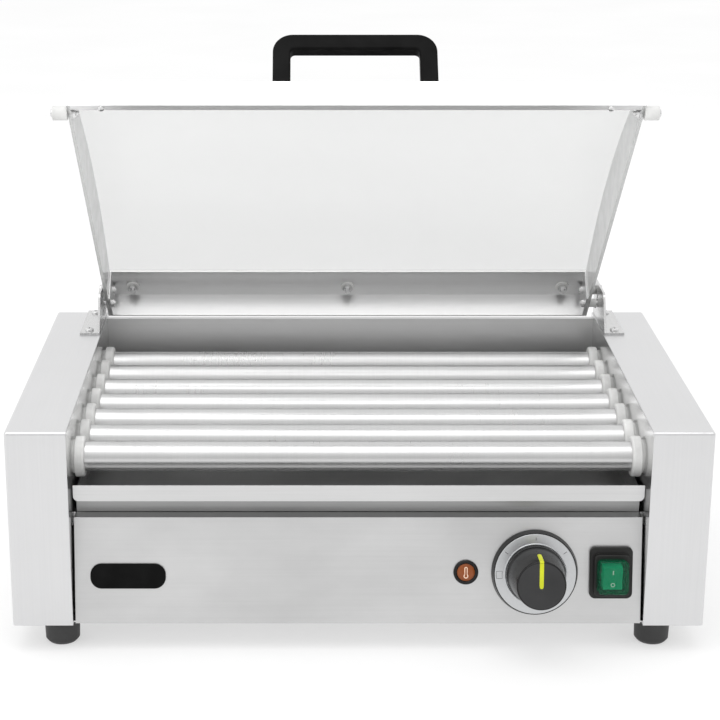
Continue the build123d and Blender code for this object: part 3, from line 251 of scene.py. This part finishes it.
def moulded(name, colour, rough=(0.38, 0.52), pebble=1500.0, depth=0.00001, edge=0.0005, shine=0.5,
            painted_glow=0.0):
    """Moulded plastic or rubber with a fine surface, and an optional painted glow: emission in its own
    colour that lights it though it is no lamp.
    """
    material, tree, shader = new_material(name)
    fine = noise(tree, (pebble, pebble, pebble), detail=2.0)
    wide = noise(tree, (40.0, 40.0, 40.0), detail=4.0)
    dark = tuple(value * 0.8 for value in colour)
    light = tuple(min(value * 1.15 + 0.004, 1.0) for value in colour)
    link(tree, tinted(tree, spread(tree, wide, 0.0, 1.0), dark, light), shader.inputs["Base Color"])
    wear = combine(tree, "MULTIPLY", wide, fine)
    link(tree, spread(tree, wear, *rough, 0.1, 0.45), shader.inputs["Roughness"])
    shader.inputs["Specular IOR Level"].default_value = shine
    # painted glow: emission in the part's own colour
    shader.inputs["Emission Color"].default_value = (*colour, 1.0)
    shader.inputs["Emission Strength"].default_value = painted_glow
    relief(tree, shader, fine, depth, edge)
    return material


def clear_sheet(name, colour, opacity, rough=0.05, glance=0.5):
    """Clear sheet, more mirror-like at a glancing angle, with faint wiping streaks."""
    material, tree, shader = new_material(name)
    shader.inputs["Base Color"].default_value = (*colour, 1.0)
    streaks = noise(tree, (3.0, 60.0, 60.0), detail=5.0)
    link(tree, spread(tree, streaks, rough, rough + 0.1), shader.inputs["Roughness"])
    weight = tree.nodes.new("ShaderNodeLayerWeight")
    weight.inputs["Blend"].default_value = 0.35
    body = combine(tree, "ADD", spread(tree, streaks, opacity * 0.92, opacity * 1.08),
                   combine(tree, "MULTIPLY", weight.outputs["Fresnel"], glance))
    link(tree, body, shader.inputs["Alpha"])
    material.surface_render_method = "BLENDED"
    return material


# ------------------------------------------------------------------ materials
TRAY_LIP_DEPTH = 0.006
SHELL = steel("brushed_shell", (0.70, 0.70, 0.705), (500, 7, 500), ("Y", (500, 500, 7)), rough=(0.3, 0.42),
              depth=0.06)
PANEL = steel("brushed_panel", (0.66, 0.66, 0.66), (6, 500, 500), rough=(0.3, 0.42), cloud=9.0,
              cloud_share=0.8, depth=0.12)
INNER = steel("bright_inner_wall", (0.70, 0.70, 0.70), (8, 500, 500), ("X", (500, 6, 500)),
              rough=(0.14, 0.24))
# the tray behind its front lip is painted darker, a painted shade for the shadow of the lip and the
# housings over it
TRAY = steel("tray_steel", (0.66, 0.66, 0.66), (6, 500, 500), rough=(0.3, 0.42),
             painted_shade=("Y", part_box("drip_tray")[0].y + TRAY_LIP_DEPTH, (0.40, 0.40, 0.40)))
BACK = steel("rear_steel", (0.70, 0.70, 0.70), (6, 500, 500), rough=(0.4, 0.55), depth=0.05)
ROLL = steel("ground_roller", (0.65, 0.65, 0.65), (600, 14, 14), rough=(0.26, 0.34), cloud=12.0,
             depth=0.06)
RAIL = steel("lid_rail_steel", (0.84, 0.84, 0.84), (6, 500, 500), rough=(0.26, 0.36), depth=0.05)
REAR_RAIL = steel("lid_channel_steel", (0.74, 0.74, 0.74), (6, 500, 500), rough=(0.3, 0.38),
                  groove=0.000002, depth=0.05)
BRACKET = steel("bracket_steel", (0.62, 0.62, 0.62), (400, 7, 400), rough=(0.2, 0.32))
BOLT = steel("bolt_steel", (0.72, 0.72, 0.72), (300, 300, 300), rough=(0.18, 0.3))
DRIVE = steel("oiled_steel", (0.24, 0.24, 0.25), (400, 400, 400), rough=(0.3, 0.5))
SHEATH = steel("heater_sheath", (0.34, 0.32, 0.31), (60, 500, 500), rough=(0.4, 0.6))
DIAL = steel("turned_dial", (0.62, 0.63, 0.64), (500, 500, 500), rough=(0.26, 0.36))
BUSH = moulded("white_bush", (0.74, 0.74, 0.73), rough=(0.34, 0.46), pebble=900.0, shine=0.3)
SATIN_BLACK = moulded("satin_black", (0.004, 0.004, 0.004), rough=(0.4, 0.5), shine=0.05)
FRAME_BLACK = moulded("switch_black", (0.016, 0.016, 0.015), rough=(0.36, 0.46), shine=0.3)
GLOSS_BLACK = moulded("gloss_black", (0.010, 0.010, 0.010), rough=(0.18, 0.28), shine=0.22)
FACE_BLACK = moulded("knob_face", (0.022, 0.022, 0.023), rough=(0.4, 0.55), shine=0.45)
RUBBER = moulded("foot_rubber", (0.030, 0.030, 0.030), rough=(0.5, 0.65), pebble=700.0, depth=0.00004,
                 shine=0.5)
MOTOR = moulded("motor_paint", (0.14, 0.145, 0.15), rough=(0.4, 0.55), pebble=500.0)
# the rocker's marks get a painted glow, emission that makes them lighter than their own print
PALE = moulded("pale_marking", (0.72, 0.86, 0.76), rough=(0.4, 0.5), painted_glow=0.55)
YELLOW = moulded("pointer_yellow", (0.62, 0.66, 0.02), rough=(0.3, 0.42), shine=0.3)
# dark print on the dial, also used as painted shade for the screw heads' cross recesses
INK_AND_RECESS_SHADE = moulded("dial_ink_and_recess_shade", (0.10, 0.10, 0.10), rough=(0.4, 0.5))
# the rocker gets a painted glow, emission that makes it lighter than its own green
GREEN = moulded("rocker_green", (0.0, 0.44, 0.19), rough=(0.2, 0.3), shine=0.3, painted_glow=0.3)
BOOT = clear_sheet("boot_green", (0.0, 0.14, 0.06), 0.26, rough=0.16, glance=0.55)
AMBER = moulded("amber_lens", (0.27, 0.07, 0.016), rough=(0.1, 0.2), shine=0.3)
# the lens's symbol gets a painted glow, emission that makes it lighter than its own print; the lamp itself
# is unlit
AMBER_MARK = moulded("amber_marking", (0.78, 0.56, 0.42), rough=(0.4, 0.5), painted_glow=0.25)
PANE = clear_sheet("clear_pane", (0.90, 0.905, 0.90), 0.05, glance=0.35)
PANE_SIDE = clear_sheet("clear_side", (0.78, 0.785, 0.78), 0.5, glance=0.4)

FINISH = {
    SHELL: ["left_cover", "right_cover"],
    PANEL: ["front_panel"],
    INNER: ["left_bearing_plate", "right_bearing_plate", "base_pan", "tray_deck", "heater_bars"],
    TRAY: ["drip_tray"],
    BACK: ["rear_panel"],
    ROLL: [f"roller_{number}" for number in range(1, 8)],
    RAIL: ["lid_front_rail"],
    REAR_RAIL: ["lid_rear_rail"],
    BRACKET: ["left_hinge_bracket", "right_hinge_bracket"],
    BOLT: ["bracket_screws", "foot_screws", "hinge_bolts", "lid_bolts", "thermostat_spindle"],
    DRIVE: ["drive_chain", "drive_sprocket"] + [f"sprocket_{number}" for number in range(1, 8)],
    SHEATH: ["heater_rods"],
    DIAL: ["dial_plate"],
    BUSH: ["roller_bushes", "lid_washers", "lid_bumpers"],
    SATIN_BLACK: ["lid_handle", "badge", "cable_gland", "thermostat", "terminal_block"],
    FRAME_BLACK: ["switch_frame"],
    GLOSS_BLACK: ["dial_bezel", "lamp_ring", "knob"],
    RUBBER: ["foot_front_left", "foot_front_right", "foot_rear_left", "foot_rear_right"],
    MOTOR: ["gearmotor"],
    GREEN: ["rocker"],
    BOOT: ["switch_boot"],
    AMBER: ["lamp_lens"],
    PANE: ["lid_pane"],
    PANE_SIDE: ["lid_left_side", "lid_right_side"],
}
for material, names in FINISH.items():
    for name in names:
        for slot in NODES[name].material_slots:
            slot.material = material


# ------------------------------------------------------------------ mesh helpers
def frame_at(origin, x_axis, z_axis):
    """Matrix of a local frame, from its origin and two of its axes."""
    z = Vector(z_axis).normalized()
    x = Vector(x_axis).normalized()
    y = z.cross(x)
    return Matrix.Translation(Vector(origin)) @ Matrix((x, y, z)).transposed().to_4x4()


def add_piece(name, bm, place, body, slot, *materials, smooth=0.6):
    """Mesh piece from local millimetres, placed and riding on a body."""
    bmesh.ops.recalc_face_normals(bm, faces=bm.faces)
    bm.transform(place @ Matrix.Scale(MM, 4))
    mesh = bpy.data.meshes.new(name)
    bm.to_mesh(mesh)
    bm.free()
    for material in materials:
        mesh.materials.append(material)
    for polygon in mesh.polygons:
        polygon.use_smooth = True
    mesh.set_sharp_from_angle(angle=smooth)
    piece = bpy.data.objects.new(name, mesh)
    bpy.context.scene.collection.objects.link(piece)
    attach(piece, body)
    return piece


def lathe(bm, profile, steps=96, material=0):
    """Turn (radius, height) points about the local Z."""
    rings = []
    for radius, height in profile:
        if radius == 0:
            rings.append([bm.verts.new((0, 0, height))])
            continue
        ring = []
        for step in range(steps):
            angle = 2 * math.pi * step / steps
            ring.append(bm.verts.new((radius * math.cos(angle), radius * math.sin(angle), height)))
        rings.append(ring)
    for low, high in zip(rings, rings[1:]):
        for step in range(steps):
            after = (step + 1) % steps
            if len(low) == 1:
                corners = (low[0], high[after], high[step])
            elif len(high) == 1:
                corners = (low[step], low[after], high[0])
            else:
                corners = (low[step], low[after], high[after], high[step])
            bm.faces.new(corners).material_index = material


def prism(bm, outline, low, high, material=0):
    """Flat piece from an outline in the local XY plane."""
    bottom = [bm.verts.new((x, y, low)) for x, y in outline]
    top = [bm.verts.new((x, y, high)) for x, y in outline]
    bm.faces.new(bottom).material_index = material
    bm.faces.new(top).material_index = material
    for step in range(len(outline)):
        after = (step + 1) % len(outline)
        corners = (bottom[step], bottom[after], top[after], top[step])
        bm.faces.new(corners).material_index = material


def ring_prism(bm, inner, outer, low, high):
    """Flat closed band between two outlines with the same number of points."""
    count = len(inner)
    levels = []
    for outline in (inner, outer):
        for z in (low, high):
            levels.append([bm.verts.new((x, y, z)) for x, y in outline])
    inner_low, inner_high, outer_low, outer_high = levels
    for step in range(count):
        after = (step + 1) % count
        for first, second in ((inner_low, inner_high), (outer_high, outer_low),
                              (inner_high, outer_high), (outer_low, inner_low)):
            bm.faces.new((first[step], first[after], second[after], second[step]))


def circle(radius, steps=40, x=0.0, y=0.0):
    """Points round a circle."""
    turns = [2 * math.pi * step / steps for step in range(steps)]
    return [(x + radius * math.cos(turn), y + radius * math.sin(turn)) for turn in turns]


def pan_head(bm, radius, height, cross):
    """Domed screw head with its cross shown by two dark bars, a painted shade standing in for the shade in
    the cross recess.
    """
    dome = [(radius, 0.0), (radius, height * 0.35), (radius * 0.92, height * 0.68),
            (radius * 0.7, height * 0.92), (radius * 0.42, height), (0, height)]
    lathe(bm, dome, steps=48)
    # the cross recess is not cut; two dark bars paint its shade
    for wide, high in ((cross, cross * 0.16), (cross * 0.16, cross)):
        outline = [(-wide, -high), (wide, -high), (wide, high), (-wide, high)]
        prism(bm, outline, height - 0.05, height + 0.04, material=1)


def merge(bm, part, place):
    """Add a separately made part to a piece, moved by a matrix in millimetres."""
    part.transform(place)
    mesh = bpy.data.meshes.new("part")
    part.to_mesh(mesh)
    bm.from_mesh(mesh)
    part.free()
    bpy.data.meshes.remove(mesh)


def in_millimetres(place):
    """Matrix made for metres, changed to move points given in millimetres."""
    return Matrix.Scale(1 / MM, 4) @ place @ Matrix.Scale(MM, 4)


# ------------------------------------------------------------------ places
def joint_place(name):
    """Point and axis of a joint."""
    joint = JOINTS[name]
    return Vector(joint["pos_m"]), Vector(joint["axis"])


def middle(node):
    """Middle of a node's box."""
    low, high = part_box(node)
    return (low + high) / 2


KNOB_AXIS_POINT, KNOB_INWARD = joint_place("knob_turn")
OUTWARD = -KNOB_INWARD
DIAL_FRAME = frame_at(KNOB_AXIS_POINT - OUTWARD * KNOB_AXIS_POINT_HEIGHT * MM, ALONG_X, OUTWARD)
ROCKER_POINT = joint_place("rocker_press")[0]
ROCKER_TILT = math.radians(-JOINTS["rocker_press"]["range_deg"][0] / 2)
LID_ANGLE = math.radians(-JOINTS["lid_hinge"]["range_deg"][0])
LID_POINT = joint_place("lid_hinge")[0]
LID_BACK = Vector((0, math.cos(LID_ANGLE), -math.sin(LID_ANGLE)))
LID_UP = Vector((0, math.sin(LID_ANGLE), math.cos(LID_ANGLE)))
LID_CORNER = LID_POINT - LID_BACK * PIVOT_ALONG * MM - LID_UP * PIVOT_ABOVE * MM


def lid_point(x, along, above):
    """Point on the lid, from its front lower edge, in millimetres along and above it."""
    return Vector((x * MM, LID_CORNER.y, LID_CORNER.z)) + LID_BACK * along * MM + LID_UP * above * MM


# ------------------------------------------------------------------ control knob and dial
def build_knob():
    """Knob with a rounded skirt, a tapered body and a slightly dished face."""
    side = [(KNOB_BORE_R, KNOB_FLOAT), (24.2, KNOB_FLOAT), (25.0, 10.0), (25.0, 12.6), (24.7, 13.4),
            (24.0, 14.4), (23.5, 18.0), (21.0, 46.4), (20.8, 47.2), (20.8, 48.6), KNOB_RIM]
    bm = bmesh.new()
    lathe(bm, side)
    lathe(bm, [KNOB_RIM, (20.0, 49.8), KNOB_FACE_EDGE])
    lathe(bm, [KNOB_FACE_EDGE, (19.0, 49.9), (12.0, 49.85), (0, 49.85)], material=1)
    bmesh.ops.remove_doubles(bm, verts=bm.verts, dist=0.001)
    piece = add_piece("knob_body", bm, DIAL_FRAME, "knob", "black_gloss", GLOSS_BLACK, FACE_BLACK)
    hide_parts("knob")


def build_pointer():
    """Raised yellow line from the middle of the knob's face over its rim and down the side."""
    stations = [
        # out from the axis, height, half width
        (-2.4, 49.7, 0.2), (-2.3, 49.95, 0.8), (-1.4, 49.99, 1.6), (0.4, 49.99, 2.0), (10.0, 49.99, 2.0),
        (19.4, 49.99, 2.0), (20.3, 49.8, 2.0), (20.95, 49.0, 2.0), (21.1, 47.0, 2.0), (21.7, 40.0, 2.0),
        (22.4, 32.4, 2.0), (22.55, 31.0, 1.5), (22.6, 30.2, 0.6),
    ]
    bm = bmesh.new()
    rows = []
    for out, height, half in stations:
        inner = Vector((0, out - POINTER_SUNK, height - POINTER_SUNK))
        outer = Vector((0, out, height))
        side = Vector((half, 0, 0))
        rows.append([bm.verts.new(inner - side), bm.verts.new(outer - side * POINTER_TOP_SHARE),
                     bm.verts.new(outer + side * POINTER_TOP_SHARE), bm.verts.new(inner + side)])
    for near, far in zip(rows, rows[1:]):
        for step in range(3):
            bm.faces.new((near[step], near[step + 1], far[step + 1], far[step]))
        bm.faces.new((near[3], near[0], far[0], far[3]))
    bm.faces.new(rows[0])
    bm.faces.new(rows[-1])
    add_piece("knob_pointer", bm, DIAL_FRAME, "knob", "black_gloss", YELLOW)


def around(turn):
    """Angle of a clockwise turn in degrees from the top of the dial."""
    return math.radians(90 - turn)


def build_dial_marks():
    """Thin strokes on the silver dial, and an outlined field on its left."""
    span = (DIAL_TOP - MARK_SUNK, DIAL_TOP + MARK_PROUD)
    bm = bmesh.new()
    for turn, near, far in TICKS:
        along = Vector((math.cos(around(turn)), math.sin(around(turn))))
        across = Vector((-along.y, along.x)) * TICK_HALF_WIDTH
        corners = [along * near - across, along * far - across, along * far + across,
                   along * near + across]
        prism(bm, [tuple(corner) for corner in corners], *span)
    edges = (
        # radius, growth of the outer line, turns along the edge
        (28.6, -FIELD_LINE, (-97, -94, -91, -88, -85)),
        (33.2, FIELD_LINE, (-86, -88.5, -91, -93.5, -96)),
    )
    inner, outer = [], []
    for radius, growth, turns in edges:
        for turn in turns:
            side = (turn > FIELD_MIDDLE) - (turn < FIELD_MIDDLE)
            wider = around(turn) - FIELD_SWEEP * side
            inner.append((radius * math.cos(around(turn)), radius * math.sin(around(turn))))
            outer.append(((radius + growth) * math.cos(wider), (radius + growth) * math.sin(wider)))
    ring_prism(bm, inner, outer, *span)
    add_piece("dial_marks", bm, DIAL_FRAME, "base", "black_gloss", INK_AND_RECESS_SHADE)


# ------------------------------------------------------------------ lamp and switch markings
def arc(radius, y, start, stop, step):
    """Points of an arc about a place on the local Y axis, by whole degrees."""
    turns = [math.radians(degrees) for degrees in range(start, stop, step)]
    return [(math.cos(turn) * radius, y + math.sin(turn) * radius) for turn in turns]


def thermometer(grow):
    """Outline of a thermometer, grown outwards."""
    bulb = arc(SIGN_BULB_R + grow, SIGN_BULB_Y, 130, 411, 14)
    return bulb + arc(SIGN_STEM_HALF + grow, SIGN_TOP_Y, 0, 181, 18)


def build_lamp_symbol():
    """Outlined thermometer on the lens."""
    bm = bmesh.new()
    ring_prism(bm, thermometer(SIGN_LINE[0]), thermometer(SIGN_LINE[1]), *SIGN_SPAN)
    base = middle("lamp_lens") - OUTWARD * LENS_MIDDLE * MM
    place = frame_at(base, ALONG_X, OUTWARD)
    add_piece("lamp_symbol", bm, place, "base", "amber_lens", AMBER_MARK)


def build_rocker_marks():
    """Bar on the rocker's upper half and ring on its lower half."""
    low, high = ROCKER_TOP - 0.1, ROCKER_TOP + 0.08
    bottom, top = BAR_SPAN
    bar = [(-BAR_HALF_WIDTH, bottom), (BAR_HALF_WIDTH, bottom), (BAR_HALF_WIDTH, top),
           (-BAR_HALF_WIDTH, top)]
    bm = bmesh.new()
    prism(bm, bar, low, high)
    ring_prism(bm, circle(RING_R[0], y=RING_Y), circle(RING_R[1], y=RING_Y), low, high)
    tipped = frame_at(ROCKER_POINT, ALONG_X, OUTWARD) @ Matrix.Rotation(ROCKER_TILT, 4, "X")
    add_piece("rocker_marks", bm, tipped, "rocker", "white_bush", PALE)


# ------------------------------------------------------------------ small fixings
def build_bracket_screws():
    """Domed cross-headed screws on the hinge brackets' feet."""
    bm = bmesh.new()
    low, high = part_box("bracket_screws")
    radius, cross = FOOT_HEAD
    height = (high.z - low.z) / MM
    for x in (low.x + radius * MM, high.x - radius * MM):
        for y in (low.y + radius * MM, high.y - radius * MM):
            part = bmesh.new()
            pan_head(part, radius, height, cross)
            merge(bm, part, Matrix.Translation(Vector((x, y, low.z)) / MM))
    piece = add_piece("bracket_screw_heads", bm, IDENTITY, "base", "bright_steel", BOLT, INK_AND_RECESS_SHADE)
    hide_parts("bracket_screws")


def build_rail_screws():
    """Two pan heads under the front rail's return flange."""
    bm = bmesh.new()
    for x in RAIL_SCREW_XS:
        part = bmesh.new()
        pan_head(part, *RAIL_HEAD)
        place = frame_at(lid_point(x, RAIL_SCREW_ALONG, 0.0), ALONG_X, -LID_UP)
        merge(bm, part, in_millimetres(place))
    add_piece("rail_screws", bm, IDENTITY, "lid", "bright_steel", BOLT, INK_AND_RECESS_SHADE)


def build_bumper_fixings():
    """Screw in the end of each bumper, and its washer and nut inside the lid."""
    low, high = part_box("lid_bumpers")
    side_low, side_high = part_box("lid_left_side")[0].x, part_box("lid_right_side")[1].x
    centre = (low + high) / 2
    side_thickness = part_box("lid_left_side")[1].x - side_low
    bore, washer_r, washer_top = BUMPER_WASHER
    for name, outward, tip, face in (("left", -1, low.x, side_low), ("right", 1, high.x, side_high)):
        inner = face - outward * side_thickness
        bm = bmesh.new()
        pan_head(bm, *BUMPER_HEAD)
        end = frame_at((tip, centre.y, centre.z), (0, outward, 0), (outward, 0, 0))
        add_piece(f"bumper_screw_{name}", bm, end, "lid", "bright_steel", BOLT, INK_AND_RECESS_SHADE)
        bm = bmesh.new()
        lathe(bm, [(bore, 0.0), (washer_r, 0.0), (washer_r, washer_top), (bore, washer_top)], steps=40)
        prism(bm, circle(BUMPER_NUT_R, steps=6), washer_top, BUMPER_NUT_TOP)
        lathe(bm, [(bore, BUMPER_NUT_TOP), (bore, 6.2), (1.5, 6.7), (0, 6.7)], steps=32)
        place = frame_at((inner, centre.y, centre.z), (0, -outward, 0), (-outward, 0, 0))
        add_piece(f"bumper_nut_{name}", bm, place, "lid", "bright_steel", BOLT)


def build_hinge_spacers():
    """Sleeve on each hinge bolt between the lid's end panel and the bracket on the right."""
    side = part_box("lid_right_side")[1].x
    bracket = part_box("right_hinge_bracket")[0].x
    length = (bracket - side) / MM
    bolt_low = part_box("hinge_bolts")[0]
    guide = bolt_low + Vector((0, GUIDE_HEAD_R, GUIDE_HEAD_R)) * MM
    bm = bmesh.new()
    for y, z, radius in ((LID_POINT.y, LID_POINT.z, 3.1), (guide.y, guide.z, 2.6)):
        shoulder, outer = radius + SLEEVE_WALL - SLEEVE_EDGE, radius + SLEEVE_WALL
        part = bmesh.new()
        lathe(part, [(radius, 0.15), (shoulder, 0.15), (outer, 0.5), (outer, length - 0.7),
                     (shoulder, length - 0.35), (radius, length - 0.35)], steps=40)
        merge(bm, part, in_millimetres(frame_at((side, y, z), ALONG_Y, ALONG_X)))
    add_piece("hinge_spacers", bm, IDENTITY, "lid", "white_bush", BUSH)


build_rail_screws()
build_bumper_fixings()
build_hinge_spacers()
build_knob()
build_pointer()
build_dial_marks()
build_lamp_symbol()
build_rocker_marks()
build_bracket_screws()


# ------------------------------------------------------------------ floor, light and camera
def floor():
    """Wide pale floor."""
    bm = bmesh.new()
    size = FLOOR_HALF
    corners = [(-size, -size), (size, -size), (size, size), (-size, size)]
    bm.faces.new([bm.verts.new((x, y, 0)) for x, y in corners])
    bm.transform(Matrix.Scale(MM, 4))
    mesh = bpy.data.meshes.new("floor")
    bm.to_mesh(mesh)
    bm.free()
    material, tree, shader = new_material("floor_white")
    shader.inputs["Roughness"].default_value = 0.9
    shader.inputs["Specular IOR Level"].default_value = 0.0
    shader.inputs["Emission Color"].default_value = (1.0, 1.0, 1.0, 1.0)
    shader.inputs["Emission Strength"].default_value = 0.5
    tone = spread(tree, noise(tree, (3.0, 3.0, 3.0)), 0.0, 1.0)
    link(tree, tinted(tree, tone, (0.46, 0.46, 0.46), (0.48, 0.48, 0.48)), shader.inputs["Base Color"])
    mesh.materials.append(material)
    piece = bpy.data.objects.new("floor", mesh)
    bpy.context.scene.collection.objects.link(piece)


def area_light(name, location, target, size, power):
    """Rectangular lamp aimed at a point."""
    light = bpy.data.lights.new(name, "AREA")
    light.shape = "RECTANGLE"
    light.size, light.size_y = size
    light.energy = power
    lamp = bpy.data.objects.new(name, light)
    lamp.location = location
    lamp.rotation_euler = (Vector(target) - Vector(location)).to_track_quat("-Z", "Y").to_euler()
    bpy.context.scene.collection.objects.link(lamp)


def surroundings():
    """Soft white all round, dimmer near the horizon in front, with two soft lamps."""
    world = bpy.data.worlds.new("studio")
    world.use_nodes = True
    tree = world.node_tree
    background = tree.nodes["Background"]
    background.inputs["Color"].default_value = (1.0, 1.0, 1.0, 1.0)
    parts = texture_parts(tree, "Generated")
    front = spread(tree, parts["Y"], 1.0, 0.0, -0.75, 0.1)
    low = spread(tree, parts["Z"], 1.0, 0.0, 0.15, 0.7)
    dim = combine(tree, "MULTIPLY", combine(tree, "MULTIPLY", front, low), -0.4)
    link(tree, combine(tree, "ADD", dim, 1.05), background.inputs["Strength"])
    bpy.context.scene.world = world
    area_light("key_above", (-0.3, -0.5, 2.2), (0, 0, 0.2), (2.2, 1.6), 16)
    area_light("fill_left", (-2.0, -1.2, 0.9), (0, 0, 0.2), (1.2, 1.6), 5)


def photo_camera():
    """Camera in front of the grill, looking down on it."""
    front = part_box("left_cover")[0].y
    data = bpy.data.cameras.new("photo_camera")
    data.lens = 94.45
    data.sensor_width = 36.0
    data.shift_x = 0.0736
    data.dof.use_dof = False
    camera = bpy.data.objects.new("photo_camera", data)
    camera.location = (-0.0436, front - 1.4711, 0.7286)
    camera.rotation_euler = (math.radians(90 - 17.56), 0, 0)
    bpy.context.scene.collection.objects.link(camera)
    bpy.context.scene.camera = camera


floor()
surroundings()
photo_camera()
bpy.context.scene.view_settings.view_transform = "Standard"
